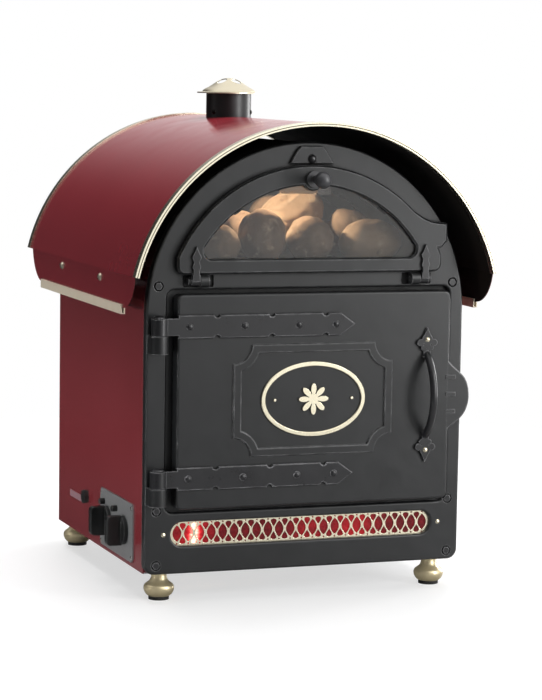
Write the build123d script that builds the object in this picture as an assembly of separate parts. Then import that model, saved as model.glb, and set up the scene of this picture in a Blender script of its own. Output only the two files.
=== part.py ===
"""Counter-top baked potato oven: a cast front with a main door and an arched display window,
an enamelled casing under an arched roof, and four ball feet.

Millimetres, +Z up, the front faces -Y. Everything is drawn with y = 0 on the front plate's face and
z = 0 on the floor, then moved back so that the origin is the middle of the footprint on the floor.
"""
import os
from math import cos, degrees, pi, radians, sin, sqrt

from build123d import *

# ---------------------------------------------------------------- driving dimensions
# casing
BODY_W = 440.0          # width of the cast front plate
BODY_D = 424.5          # plate's face to the back of the casing
FOOT_H = 37.0           # floor to the underside of the casing
ARCH_Z = 374.8          # centre of the plate's arched top
PLATE_T = 12.0          # thickness of the front plate
PLATE_CORNER = 14.0
PLATE_EDGE = 3.0        # rounding of the plate's front edges
SHEET = 1.5             # casing and roof sheet
LINER = 1.2             # stainless liner sheet
SHELL_INSET = 2.0       # casing sides inside the plate's edge
FLANGE = 16.0           # turned edges inside the casing
TRAY_FLANGE = 10.0      # turned-up sides of the base tray
TRAY_VENTS = (6, 3)     # across, along
TRAY_VENT_L = 36.0
TRAY_VENT_W = 6.0
TRAY_VENT_PITCH = (48.0, 22.0)
TRAY_VENT_Y = 70.0      # first row behind the plate's face
OVER = 1.0              # how far a cut runs past what it cuts
SMALL_SCREW_R = 1.5
FIT = 0.3               # gap between pieces that move past each other
SEAT = 0.1              # gap round a piece that sits in a hole

# roof
ROOF_GAP = 33.8         # roof radius beyond the plate's radius
ROOF_DROP = 8.7         # roof centre below the plate's arch centre
ROOF_ARC = 76.5         # half angle of the curved part
ROOF_FRONT = -44.4
ROOF_OVERHANG = 67.7    # roof beyond the casing's back
ROOF_LOW = 374.3        # lower edge of the side trims
ROOF_CORNER = 54.0      # rounding of the roof's lower corners
ROOF_FRONT_INSET = 8.0  # rounded corner behind the roof's front edge
ROOF_REAR_INSET = 22.0
TRIM_W = 5.5            # edge trim, across the sheet
TRIM_D = 12.0           # edge trim, along the sheet
TRIM_WALL = 1.2
TRIM_GRIP = 4.0         # depth of the trim's slot
ROOF_SCREW_Y = (119.5, 307.0)
ROOF_SCREW_Z = 413.5
SPACER_R = 7.0
SPACER_IN = 12.0        # a spacer's inner end inside the casing's radius, before it is cut to it
SCREW_R = 2.5
ROOF_HEAD_R = 5.4
ROOF_HEAD_H = 3.8
ROOF_NUT_R = 4.4
ROOF_NUT_T = 4.4
ROOF_NUT_SEAT = 1.6     # nut's face inside the curved casing at its axis

# chimney
CHIMNEY_Y = 330.0
CHIMNEY_R = 31.7
CHIMNEY_TOP = 652.5
CHIMNEY_COLLAR_H = 22.0
CAP_R = 44.6
CAP_DOME_R = 36.0
CAP_DOME_H = 21.3
CAP_BRIM_T = 1.6
CAP_PLUG_H = 8.0
CAP_HOLE_R = 7.2
CAP_HOLE_PITCH_R = 13.8
CAP_HOLES = 4
CAP_HOLE_TURN = 25.0    # first hole's angle
CHIMNEY_SCREW_H = 6.5   # screws above the roof
CHIMNEY_SCREWS = (-60.0, 60.0, 180.0)   # angles from straight ahead
CHIMNEY_SCREW_L = 5.0
CHIMNEY_HEAD_R = 3.6
CHIMNEY_HEAD_H = 2.2
CHIMNEY_SINK = 8.0      # tube and collar below the roof's crown, before they are cut to it
FLUE_WALL = 4.0         # flue hole in the casing inside the tube's radius

# feet
FOOT_X = 191.0
FOOT_FRONT = 28.0       # front feet behind the plate's face
FOOT_REAR = 3.5         # rear feet in from the casing's back
FOOT_R = 19.2
FOOT_NECK_R = 10.0
FOOT_NECK_H = 4.5
FOOT_PAD_R = 14.0
FOOT_PAD_H = 4.5
STUD_R = 4.0
STUD_SINK = 8.0         # stud's end below the foot's neck
STUD_OUT = 2.0          # stud's end above its nut
NUT_R = 7.0
NUT_H = 6.5
NUT_ROOM = 2.0          # clear space round a rear nut

# main door
HINGE_INSET = 13.0      # hinge axis in from the plate's edge
HINGE_Y = -14.0
DOOR_LEFT = 24.5        # hinge axis to the door's edge
DOOR_RIGHT = 23.4       # plate's edge to the door's free edge
DOOR_Z0 = 123.0
DOOR_Z1 = 400.6
DOOR_FRONT = -14.0
DOOR_BACK = 6.0
DOOR_CORNER = 8.0
DOOR_EDGE = 3.0
DOOR_SKIN = 7.0
DOOR_RIM = 9.0
RECESS_GAP = 6.0        # below the door
RECESS_TOP_GAP = 5.0
RECESS_FREE_GAP = 3.5
RECESS_HINGE_GAP = 10.0
RECESS_DEPTH = 8.0
RECESS_CORNER = 10.0
EAR_OUT = 29.5          # thumb ear beyond the door's free edge
EAR_Z = 262.5
EAR_H = 92.0
EAR_T = 8.0
EAR_ROOT = 4.0          # ear's root inside the door's free edge
EAR_BARS = 3            # plain raised bars on the ear
EAR_BAR_PITCH = 23.0
EAR_BAR_H = 1.2
EAR_BAR_L = 14.0
EAR_BAR_W = 5.0
EAR_BAR_IN = 5.0        # bars' start inside the door's free edge
BADGE_X = 3.5
BADGE_Z = 262.0
BADGE_W = 221.0
BADGE_H = 146.0
BADGE_CORNER = 25.0     # hollow corner radius of the raised border
BORDER_W = 11.0
BORDER_H = 3.0
OVAL_A = 72.4
OVAL_B = 49.2
OVAL_BAND = 6.0
OVAL_T = 2.4
OVAL_PIN_X = 53.5
OVAL_PIN_R = 1.8
PETALS = 8
PETAL_OUT = 13.0
PETAL = (7.5, 3.6)      # half length, half width
ROSETTE_R = 7.0

# straps and hinge
STRAP_Z = (163.5, 359.7)
STRAP_H = 30.0
STRAP_T = 4.0
STRAP_REACH = 246.0     # hinge axis to where the pointed tip starts
STRAP_TIP = 21.0
RIVET_FIRST = 39.5      # hinge axis to the first rivet
RIVET_PITCH = 74.4
RIVET_TIP_X = 239.5     # hinge axis to the last rivet
RIVET_R = 5.0
RIVET_H = 2.6
NOTCHES = 3
NOTCH_R = 4.2
NOTCH_OUT = 0.6         # notch's centre outside the strap's edge
EYE_R = 10.5
EYE_H = 22.0
LUG_R = 11.5
LUG_H = 23.0
PIN_R = 5.0
PIN_HEAD_R = 7.2
PIN_HEAD_H = 4.0
PIN_FLOOR = 3.0         # solid floor under the pin's hole

# handle
HANDLE_IN = 34.2        # handle in from the door's free edge
HANDLE_Z = 263.0
HANDLE_SCREWS = 147.0   # between the two screws
HANDLE_OUT = 43.0       # bar's axis in front of the plate
HANDLE_R = 4.8
LEAF_R = 7.5
LEAF_TIP = 16.0
LEAF_WING = 9.5
LEAF_WING_R = 4.8
LEAF_STEM = 19.0
LEAF_T = 4.0
LEAF_TIP_HALF = 6.2
HANDLE_SCREW_R = 2.0
HANDLE_HEAD_R = 3.6
HANDLE_HEAD_H = 2.4
SEAL_IN = (3.0, 1.5)    # seal's inner edge outside the mouth, across and up
SEAL_W = (8.0, 7.0)

# display window
WINDOW_BAND = 26.0      # width of the arched frame member
WINDOW_INSET = 19.5     # frame inside the plate's edge radius
WINDOW_DROP = 9.8       # frame's arc centre below the plate's
WINDOW_HALF = 182.5
WINDOW_Z0 = 426.0
WINDOW_SILL = 19.3      # height of the frame's bottom member
WINDOW_FRONT = -12.0
WINDOW_BACK = -1.0
WINDOW_CORNER = 10.0
WINDOW_EDGE = 2.5
GLASS_HALF = 146.5
GLASS_T = 4.0
GLASS_LAP = 6.0
CLIP_X = 90.0           # the pane's lower clips
CLIP_ANGLE = 35.0       # and its upper ones, from the crown
CLIP_W = 14.0
CLIP_T = 1.2
CLIP_CLEAR = 1.5        # clips inside the plate's display port
HORN_OUT = 8.0          # cast horn beyond the frame's right side
HORN_Z = (457.0, 489.5)
HORN_ROOT = 42.5        # frame's side to where the horn leaves the arc
PIVOT_Y = -7.0
PIVOT_Z = 417.0
PIVOT_R = 3.0
ARM_X = 158.5
ARM_W = 12.0
ARM_TOP = 462.0
ARM_T = 4.0
ARM_EYE_R = 6.5
PIVOT_LUG_R = 8.0
PIVOT_LUG_W = 12.0
PIVOT_STEM = 7.0        # half height of the lug's foot
PIVOT_POCKET = 4.0
PIVOT_POCKET_Z = (8.0, 7.5)     # below and above the pivot
PIVOT_POCKET_X = (28.0, 13.5)   # inside and outside the arm's middle
PIVOT_HEAD_R = 5.0
PIVOT_HEAD_T = 3.5
KNOB_BOSS_R = 14.5
KNOB_Z = 546.5
KNOB_BALL_R = 11.0
KNOB_BALL_Y = -45.0
KNOB_NECK_R = 5.0
KNOB_STUD_R = 3.0
KNOB_RISE = 1.0         # knob's centre above its boss's
KNOB_FLANGE_R = 10.5
KNOB_FLANGE_T = 4.0
CATCH_W = 60.6
CATCH_TOP_W = 36.0
CATCH_Z = (567.0, 589.4)
CATCH_T = 5.0
CATCH_SHOULDER = 6.0    # slanted corners of the catch
CATCH_BOLT_Z = 573.2
CATCH_HEAD_R = 6.2
CATCH_HEAD_H = 4.2

# plate fasteners and ember slot
BOLT_INSET = 16.0       # bolts in from the plate's edge
BOLT_Z = (48.9, 119.9, 410.5)
BOLT_R = 4.5
BOLT_POCKET_R = 6.4
BOLT_POCKET = 4.0
BOLT_HEX = 0.7          # hexagon's corners beyond the bolt's radius
BOLT_PROUD = 0.6
BOLT_END = 6.0          # bolt's end behind the casing's flange
SLOT_X = (-184.0, 180.0)
SLOT_Z = (73.0, 104.5)
SLOT_LIP = 6.0
GRILLE_MARGIN = 24.0    # grille plate beyond the slot's ends
GRILLE_RISE = 6.0       # grille plate beyond the slot's long edges
GRILLE_T = 1.5
GRILLE_CELLS = 23
GRILLE_BAR = 2.0
GRILLE_SCREW_OUT = 10.5
EDGE_CELL = (0.24, 2.6) # half ovals: half width per pitch, half height
EDGE_CELL_IN = 1.4
GRILLE_HEAD_R = 3.3
GRILLE_HEAD_H = 1.6
LENS_T = 3.0
EMBER_R = 11.0          # ember lamp
EMBER_L = 34.0
EMBER_IN = 19.0         # slot's end to where the bulb meets its holder
EMBER_BACK = 26.0       # lamp behind the plate
EMBER_HOLDER = 24.0
DISPLAY_LAMP_R = 8.0
DISPLAY_LAMP_L = 44.0
DISPLAY_LAMP_X = 24.0
DISPLAY_LAMP_BACK = 33.0
DISPLAY_LAMP_DROP = 17.0
DISPLAY_HOLDER = 18.0

# oven chamber and display chamber
MOUTH_MARGIN = 26.0     # door's edges to the chamber's mouth
MOUTH_Z = (142.0, 381.0)
WOOL_T = 25.0
DISPLAY_HALF = 169.0
DISPLAY_Z0 = 425.0
DISPLAY_R = 187.0
DISPLAY_SHORT = 20.0    # display chamber's back in front of the oven chamber's
TRAY_H = 6.0
TRAY_GAP = 3.0
TRAY_HOLES = (5, 3)     # across, along
TRAY_HOLE_PITCH = (60.0, 90.0)
VENT_R = 6.0            # round vent holes in the tray and the baffle
LINER_FLANGE = 14.0
POTATO_GAP = 0.3        # left between neighbours, so that none is sunk into another
POTATO_HEAP = 90.0      # highest middle above the tray
POTATO_STEP = 0.05
POTATOES = (            # x, behind the plate's face, radius, half its straight length, turn, tilt
    (-107.5, 48.0, 27.0, 6.0, 90.0, 0.0),
    (-47.0, 52.0, 32.6, 5.0, 90.0, 60.0),
    (19.0, 51.0, 32.4, 4.0, 90.0, 0.0),
    (104.0, 48.0, 30.0, 15.0, 5.0, 0.0),
    (-114.0, 122.0, 27.0, 6.0, 90.0, 0.0),
    (-50.0, 124.0, 30.0, 8.0, 90.0, 30.0),
    (84.0, 162.0, 26.0, 8.0, 90.0, 0.0),
    (14.0, 192.0, 30.0, 14.0, 90.0, 60.0),
    (20.0, 121.0, 30.5, 15.0, -4.0, 14.0),
    (103.0, 102.5, 23.0, 14.0, -3.0, -26.0),
)
SHELF_Z = (222.0, 302.0)
SHELF_BACK = 13.0       # shelves' rear ends to the baffle
SHELF_RIM_R = 3.0
SHELF_WIRE_R = 1.75
SHELF_WIRES = 13
RUNNER_W = 9.0
RUNNER_T = 1.5
RUNNER_H = 10.0
SHELF_SIDE_GAP = 4.0
SHELF_FRONT = 20.0

# fan and element
BAFFLE_ROOM = 32.0      # baffle in front of the chamber's back
BAFFLE_RINGS = 3
BAFFLE_RING_PITCH = 17.0
BAFFLE_SLOTS = 5
BAFFLE_SLOT_X = 135.0
BAFFLE_SLOT_PITCH = 40.0
BAFFLE_SLOT_HALF = (4.0, 14.0)
FAN_R = 58.0
FAN_BACK = 6.0          # wheel in front of the chamber's back
FAN_HUB = 3.0           # hub's wall
FAN_BLADES = 8
FAN_BLADE_L = 26.0
FAN_DEPTH = 14.0
SHAFT_R = 4.0
SHAFT_IN = 16.0         # shaft inside the motor
SHAFT_ROOM = 2.0
MOTOR_R = 32.0
MOTOR_BACK = 12.3       # motor to the casing's back
MOTOR_L = 36.0
MOTOR_PLATE_R = 42.0
MOTOR_PLATE_T = 2.0
MOTOR_POSTS = 3
MOTOR_POST_R = 3.0
MOTOR_POST_IN = 6.0     # posts inside the motor plate's edge
ELEMENT_R = 76.0
ELEMENT_TUBE_R = 3.5
ELEMENT_FRONT = 13.0    # element in front of the chamber's back
ELEMENT_LEAD = 14.0     # leads to each side of the middle

# controls on the left side
PANEL_Y = (52.0, 204.0)
PANEL_Z = (43.0, 121.0)
PANEL_T = 2.0
PANEL_CORNER = 8.0
PANEL_LAP = 9.0         # plate beyond the casing's cut-out
PANEL_SCREW_IN = 6.0
PANEL_HEAD_R = 3.0
PANEL_HEAD_H = 1.4
CONTROL_Y = (90.0, 167.0)
CONTROL_Z = 81.0
SKIRT_R = 19.0
SKIRT_T = 5.5
GRIP_L = 39.5
GRIP_W = 11.0
GRIP_OUT = 25.0
GRIP_ROUND = 6.0
SPINDLE_R = 3.0
SPINDLE_IN = 12.0
KNOB_LIFT = 0.5         # knob's skirt off the plate
SWITCH_W = 36.0
SWITCH_D = 27.0
TAB_OUT = 10.0          # terminal tabs above and below a switch's middle
LAMP_Y = (125.0, 184.0)
LAMP_Z = 104.0
LAMP_R = 4.2
LAMP_OUT = 8.0
LAMP_NECK_R = 3.2
LAMP_IN = 14.0
LABEL_Y = (294.0, 362.0)
LABEL_Z = (83.0, 92.0)
LABEL_T = 0.8
RESET_Y = 276.0
RESET_Z = 95.0
RESET_R = 9.5
RESET_OUT = 6.5
RESET_RIBS = 18
RESET_RIB_R = 0.9

# rear cover and cable gland
COVER_HALF = 200.0
COVER_TOP = 340.0
COVER_D = 40.0
LOUVRES = 9
LOUVRE_PITCH = 14.0
LOUVRE_H = 4.5
LOUVRE_W = 90.0
LOUVRE_CORNER = 2.0
COVER_LOUVRE_X = 110.0
PANEL_LOUVRE_X = 90.0
PANEL_LOUVRE_RISE = 30.0
GLAND_X = 150.0
GLAND_Z = 72.0
GLAND_BORE_R = 4.0
GLAND_NECK_R = 7.0
GLAND_R = 9.0
GLAND_NUT_R = 11.0
GLAND_NUT_T = 4.0
GLAND_IN = 6.0
GLAND_HEAD = 8.0
GLAND_NOSE = 7.0

# ---------------------------------------------------------------- values worked out from them
PLATE_R = BODY_W / 2
FOOT_Y = (FOOT_FRONT, BODY_D - FOOT_REAR)
ROOF_REAR = BODY_D + ROOF_OVERHANG
SHELL_R = PLATE_R - SHELL_INSET
SHELL_IN = SHELL_R - SHEET
ROOF_R = PLATE_R + ROOF_GAP
ROOF_Z = ARCH_Z - ROOF_DROP
FLAP_X = ROOF_R * sin(radians(ROOF_ARC))
FLAP_Z = ROOF_Z + ROOF_R * cos(radians(ROOF_ARC))
HINGE_X = HINGE_INSET - PLATE_R
DOOR_X0 = HINGE_X + DOOR_LEFT
DOOR_X1 = PLATE_R - DOOR_RIGHT
MOUTH_X = (DOOR_X0 + MOUTH_MARGIN, DOOR_X1 - MOUTH_MARGIN)
CENTRE_X = (MOUTH_X[0] + MOUTH_X[1]) / 2
CENTRE_Z = (MOUTH_Z[0] + MOUTH_Z[1]) / 2
OVEN_BACK = BODY_D - MOTOR_BACK - MOTOR_L - WOOL_T - LINER
BAFFLE_Y = OVEN_BACK - BAFFLE_ROOM
SHELF_D = BAFFLE_Y - SHELF_BACK - SHELF_FRONT
DISPLAY_D = OVEN_BACK - DISPLAY_SHORT - PLATE_T
HANDLE_X = DOOR_X1 - HANDLE_IN
WINDOW_R = PLATE_R - WINDOW_INSET
WINDOW_Z = ARCH_Z - WINDOW_DROP
GLASS_R = WINDOW_R - WINDOW_BAND
GLASS_Z0 = WINDOW_Z0 + WINDOW_SILL
PORT_R = WINDOW_R - WINDOW_BAND / 2 - 1.5
PORT_HALF = GLASS_HALF + 18.0
PORT_Z0 = WINDOW_Z0 + 8.0
BOLT_X = PLATE_R - BOLT_INSET
SLOT_MID = (SLOT_Z[0] + SLOT_Z[1]) / 2
EMBER_X = SLOT_X[0] + EMBER_IN
EMBER_Y = PLATE_T + EMBER_BACK
DISPLAY_LAMP_Y = PLATE_T + DISPLAY_LAMP_BACK
DISPLAY_LAMP_Z = WINDOW_Z + DISPLAY_R - LINER - DISPLAY_LAMP_DROP
GRILLE_SCREW_X = (SLOT_X[0] - GRILLE_SCREW_OUT, SLOT_X[1] + GRILLE_SCREW_OUT)
RIVET_X = [HINGE_X + RIVET_FIRST + RIVET_PITCH * i for i in range(NOTCHES)] + [HINGE_X + RIVET_TIP_X]
NOTCH_X = [HINGE_X + RIVET_FIRST + RIVET_PITCH * (i + 0.5) for i in range(NOTCHES)]
KNOB_OUT = -KNOB_BALL_Y + KNOB_BALL_R
CENTRE_Y = (ROOF_REAR - KNOB_OUT) / 2
SIDE_X = -SHELL_R
PANEL_X = SIDE_X - PANEL_T
MOTOR_Y = OVEN_BACK + LINER + WOOL_T
ELEMENT_LEAD_X = (CENTRE_X - ELEMENT_LEAD, CENTRE_X + ELEMENT_LEAD)

NODES = {}


# ---------------------------------------------------------------- shapes
def box(x0, x1, y0, y1, z0, z1):
    return Pos((x0 + x1) / 2, (y0 + y1) / 2, (z0 + z1) / 2) * Box(x1 - x0, y1 - y0, z1 - z0)


def rod_x(r, x0, x1, y, z):
    return Pos((x0 + x1) / 2, y, z) * Rot(0, 90, 0) * Cylinder(r, x1 - x0)


def rod_y(r, y0, y1, x, z):
    return Pos(x, (y0 + y1) / 2, z) * Rot(90, 0, 0) * Cylinder(r, y1 - y0)


def rod_z(r, z0, z1, x, y):
    return Pos(x, y, (z0 + z1) / 2) * Cylinder(r, z1 - z0)


def rect(x0, x1, z0, z1, corner=0.0):
    shape = RectangleRounded(x1 - x0, z1 - z0, corner) if corner else Rectangle(x1 - x0, z1 - z0)
    return Pos((x0 + x1) / 2, (z0 + z1) / 2) * shape


def disc(r, x, z):
    return Pos(x, z) * Circle(r)


def outline(points):
    return make_face(Polyline(*points, close=True))


def tombstone(r, z0, zc=ARCH_Z, corner=0.0):
    """Upright sides and a half-round top."""
    face = rect(-r, r, z0, zc) + disc(r, 0, zc)
    return fillet(face.vertices().group_by(Axis.Y)[0], corner) if corner else face


def arched(r, half, z0, zc=WINDOW_Z, corner=0.0):
    """Part of a disc above z0 and between two upright sides."""
    face = disc(r, 0, zc) & rect(-half, half, z0, zc + r)
    return fillet(face.vertices().group_by(Axis.Y)[0], corner) if corner else face


def slab(face, y_front, y_back):
    """A face drawn in X and Z, made solid from y_front to y_back."""
    back = Plane(origin=(0, y_back, 0), x_dir=(1, 0, 0), z_dir=(0, -1, 0))
    return extrude(back * face, y_back - y_front)


def side_slab(face, x0, x1):
    """A face drawn in Y and Z, made solid from x0 to x1."""
    left = Plane(origin=(x0, 0, 0), x_dir=(0, 1, 0), z_dir=(1, 0, 0))
    return extrude(left * face, x1 - x0)


def front_face(solid):
    return solid.faces().sort_by(Axis.Y)[0]


def dome_y(r, h, y, x, z):
    """A low dome standing forward of y."""
    ball = (r * r + h * h) / (2 * h)
    wide = ball + 1.0
    cap = Pos(x, y - h + ball, z) * Sphere(ball)
    return cap & box(x - wide, x + wide, y - wide, y, z - wide, z + wide)


def add(name, shape):
    NODES[name] = shape


# ---------------------------------------------------------------- casing
def rear_foot_notch():
    """Room round the rear foot nuts, which stand across the casing's rear panel."""
    reach = NUT_R + NUT_ROOM
    cut = None
    for side in (-1, 1):
        x = side * FOOT_X
        piece = box(x - reach, x + reach, FOOT_Y[1] - reach, FOOT_Y[1] + reach,
                    FOOT_H + SHEET, FOOT_H + SHEET + NUT_H + STUD_OUT + OVER)
        cut = piece if cut is None else cut + piece
    return cut


def base_tray():
    floor = box(-SHELL_IN, SHELL_IN, PLATE_T, BODY_D, FOOT_H, FOOT_H + SHEET)
    cover_in = COVER_HALF - SHEET
    floor += box(-cover_in, cover_in, BODY_D, BODY_D + COVER_D - SHEET, FOOT_H, FOOT_H + SHEET)
    for side in (-1, 1):
        wall = side * (SHELL_IN - SHEET / 2)
        floor += box(wall - SHEET / 2, wall + SHEET / 2, PLATE_T + SHEET, BODY_D - 3 * SHEET,
                     FOOT_H, FOOT_H + TRAY_FLANGE)
        for y in FOOT_Y:
            floor -= rod_z(STUD_R + SEAT, 0, FOOT_H + FLANGE, side * FOOT_X, y)
    half_l, half_w = TRAY_VENT_L / 2, TRAY_VENT_W / 2
    for row in range(TRAY_VENTS[1]):
        for column in range(TRAY_VENTS[0]):
            x = (column - (TRAY_VENTS[0] - 1) / 2) * TRAY_VENT_PITCH[0]
            y = TRAY_VENT_Y + row * TRAY_VENT_PITCH[1]
            floor -= box(x - half_l, x + half_l, y - half_w, y + half_w, FOOT_H - OVER, FOOT_H + SHEET + OVER)
    return floor


def body_shell():
    outer = slab(tombstone(SHELL_R, FOOT_H), PLATE_T, BODY_D)
    low = FOOT_H - OVER
    shell = outer - slab(tombstone(SHELL_IN, low), PLATE_T + SHEET, BODY_D - 2 * SHEET)
    shell -= slab(tombstone(SHELL_IN - FLANGE, low), 0, BODY_D + OVER)
    shell -= box(-SHELL_IN, SHELL_IN, PLATE_T, BODY_D + OVER, low, FOOT_H + SHEET)
    shell -= slab(tombstone(SHELL_IN, low), BODY_D - SHEET, BODY_D + OVER)
    shell -= box(SIDE_X - OVER, SIDE_X + SHEET + OVER, PANEL_Y[0] + PANEL_LAP, PANEL_Y[1] - PANEL_LAP,
                 PANEL_Z[0] + PANEL_LAP, PANEL_Z[1] - PANEL_LAP)
    for side in (-1, 1):
        for z in BOLT_Z:
            shell -= rod_y(SCREW_R + SEAT, 0, PLATE_T + FLANGE, side * BOLT_X, z)
        for y in ROOF_SCREW_Y:
            ends = sorted((side * (SHELL_R - FLANGE), side * PLATE_R))
            shell -= rod_x(SCREW_R + SEAT, ends[0], ends[1], y, ROOF_SCREW_Z)
    shell -= rod_z(CHIMNEY_R - FLUE_WALL, ARCH_Z + SHELL_IN - FLANGE, ARCH_Z + PLATE_R, 0, CHIMNEY_Y)
    return shell - rear_foot_notch()


def louvres(x, z0, y0, y1):
    """A column of vent slots."""
    cut = None
    for i in range(LOUVRES):
        z = z0 + i * LOUVRE_PITCH
        slot = slab(rect(x - LOUVRE_W / 2, x + LOUVRE_W / 2, z, z + LOUVRE_H, LOUVRE_CORNER), y0, y1)
        cut = slot if cut is None else cut + slot
    return cut


def rear_panel():
    panel = slab(tombstone(SHELL_IN - SEAT, FOOT_H + SHEET), BODY_D - SHEET, BODY_D)
    for x in (-PANEL_LOUVRE_X, PANEL_LOUVRE_X):
        panel -= louvres(x, COVER_TOP + PANEL_LOUVRE_RISE, BODY_D - 2 * SHEET, BODY_D + OVER)
    return panel - rear_foot_notch()


def rear_cover():
    y0, y1 = BODY_D, BODY_D + COVER_D
    cover = box(-COVER_HALF, COVER_HALF, y0, y1, FOOT_H, COVER_TOP)
    cover -= box(-COVER_HALF + SHEET, COVER_HALF - SHEET, y0 - OVER, y1 - SHEET,
                 FOOT_H - OVER, COVER_TOP - SHEET)
    for x in (-COVER_LOUVRE_X, 0.0, COVER_LOUVRE_X):
        cover -= louvres(x, CENTRE_Z - LOUVRES * LOUVRE_PITCH / 2, y1 - 2 * SHEET, y1 + OVER)
    return cover - rod_y(GLAND_NECK_R + SEAT, y1 - 2 * SHEET, y1 + OVER, GLAND_X, GLAND_Z)


def cable_gland():
    y = BODY_D + COVER_D
    low, high = y - GLAND_IN, y + GLAND_HEAD + GLAND_NOSE
    body = rod_y(GLAND_NECK_R, low, high, GLAND_X, GLAND_Z)
    body += rod_y(GLAND_R, y, y + GLAND_HEAD, GLAND_X, GLAND_Z)
    body += rod_y(GLAND_NUT_R, y - SHEET - GLAND_NUT_T, y - SHEET, GLAND_X, GLAND_Z)
    return body - rod_y(GLAND_BORE_R, low - OVER, high + OVER, GLAND_X, GLAND_Z)


def label_plate():
    return side_slab(rect(LABEL_Y[0], LABEL_Y[1], LABEL_Z[0], LABEL_Z[1], 1.0), SIDE_X - LABEL_T, SIDE_X)


def reset_cap():
    cap = rod_x(RESET_R, SIDE_X - RESET_OUT, SIDE_X, RESET_Y, RESET_Z)
    for i in range(RESET_RIBS):
        angle = 2 * pi * i / RESET_RIBS
        cap -= rod_x(RESET_RIB_R, SIDE_X - RESET_OUT - OVER, SIDE_X - OVER,
                     RESET_Y + RESET_R * cos(angle), RESET_Z + RESET_R * sin(angle))
    return cap


# ---------------------------------------------------------------- feet
def feet():
    """Ball feet, their rubber pads and the studs that hold them."""
    bulbs, pads, studs = [], [], []
    neck_z = FOOT_H - FOOT_NECK_H
    mid_z = FOOT_PAD_H + (neck_z - FOOT_PAD_H) * 0.5
    profile = (Line((0, FOOT_PAD_H), (FOOT_PAD_R, FOOT_PAD_H))
               + Spline((FOOT_PAD_R, FOOT_PAD_H), (FOOT_R, mid_z), (FOOT_NECK_R, neck_z),
                        tangents=((1, 0.6), (0, 1)))
               + Polyline((FOOT_NECK_R, neck_z), (FOOT_NECK_R, FOOT_H), (0, FOOT_H), (0, FOOT_PAD_H)))
    bulb = revolve(Plane.XZ * make_face(profile), Axis.Z)
    bulb -= rod_z(STUD_R + SEAT, neck_z - STUD_SINK, FOOT_H + OVER, 0, 0)
    stud = rod_z(STUD_R, neck_z - STUD_SINK, FOOT_H + SHEET + NUT_H + STUD_OUT, 0, 0)
    nut = Pos(0, 0, FOOT_H + SHEET) * extrude(RegularPolygon(NUT_R, 6), NUT_H)
    for side in (-1, 1):
        for y in FOOT_Y:
            place = Pos(side * FOOT_X, y, 0)
            bulbs.append(place * bulb)
            pads.append(place * rod_z(FOOT_PAD_R - 0.5, 0, FOOT_PAD_H, 0, 0))
            studs.append(place * (stud + nut))
    return Compound(bulbs), Compound(pads), Compound(studs)


# ---------------------------------------------------------------- roof
def roof_section(extra):
    """The roof's section in X and Z, drawn on its outer surface moved out by extra."""
    r, x = ROOF_R + extra, FLAP_X + extra
    end = radians(ROOF_ARC)
    left, right = (-r * sin(end), ROOF_Z + r * cos(end)), (r * sin(end), ROOF_Z + r * cos(end))
    low = ROOF_LOW - TRIM_D
    arc = ThreePointArc(left, (0, ROOF_Z + r), right)
    sides = Polyline(right, (x, right[1] - 1.0), (x, low), (-x, low), (-x, left[1] - 1.0), left)
    return make_face(arc + sides)


def roof_sheet():
    front = ROOF_FRONT + TRIM_D - TRIM_GRIP
    rear = ROOF_REAR - TRIM_D + TRIM_GRIP
    sheet_low = ROOF_LOW + TRIM_D - TRIM_GRIP
    sheet = slab(roof_section(0) - roof_section(-SHEET), front, rear)
    side = rect(front, rear, FLAP_Z, ROOF_Z + ROOF_R + 1.0)
    side += rect(ROOF_FRONT + ROOF_FRONT_INSET, ROOF_REAR - ROOF_REAR_INSET, sheet_low,
                 FLAP_Z + 2 * ROOF_CORNER, ROOF_CORNER)
    sheet &= side_slab(side, -ROOF_R - 1.0, ROOF_R + 1.0)
    collar_r = CHIMNEY_R - SHEET - SEAT
    top = ROOF_Z + ROOF_R
    sheet -= rod_z(collar_r - SHEET, ROOF_Z, top + 1.0, 0, CHIMNEY_Y)
    collar = rod_z(collar_r, top - CHIMNEY_SINK, top + CHIMNEY_COLLAR_H, 0, CHIMNEY_Y)
    collar -= rod_z(collar_r - SHEET, ROOF_Z, CHIMNEY_TOP, 0, CHIMNEY_Y)
    collar -= rod_y(ROOF_R - SHEET / 2, 0, BODY_D + ROOF_R, 0, ROOF_Z)
    sheet += collar
    for side in (-1, 1):
        ends = sorted((side * (FLAP_X - 2 * SHEET), side * (FLAP_X + SHEET)))
        for y in ROOF_SCREW_Y:
            sheet -= rod_x(SCREW_R + SEAT, ends[0], ends[1], y, ROOF_SCREW_Z)
    for angle in CHIMNEY_SCREWS:
        sheet -= chimney_screw(angle, SEAT)
    return sheet


def trim_profile():
    """Section of the edge trim: u across the sheet, v from its closed edge."""
    shape = rect(-TRIM_W / 2, TRIM_W / 2, 0, TRIM_D)
    hollow = TRIM_W / 2 - TRIM_WALL
    shape -= rect(-hollow, hollow, TRIM_WALL, TRIM_D - TRIM_GRIP)
    return shape - rect(-SHEET / 2, SHEET / 2, TRIM_D - TRIM_GRIP - 1.0, TRIM_D + 1.0)


def arc_trim(y_edge, inward):
    """A trim along the roof's curved edge; inward is +1 where the sheet lies towards +Y."""
    radius = ROOF_R - SHEET / 2
    start = Plane(origin=(0, y_edge, ROOF_Z + radius), x_dir=(0, 0, 1), z_dir=(-inward, 0, 0))
    ring = revolve(start * trim_profile(), Axis((0, 0, ROOF_Z), (0, 1, 0)), 2 * ROOF_ARC)
    return ring.rotate(Axis((0, 0, ROOF_Z), (0, 1, 0)), -ROOF_ARC)


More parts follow.
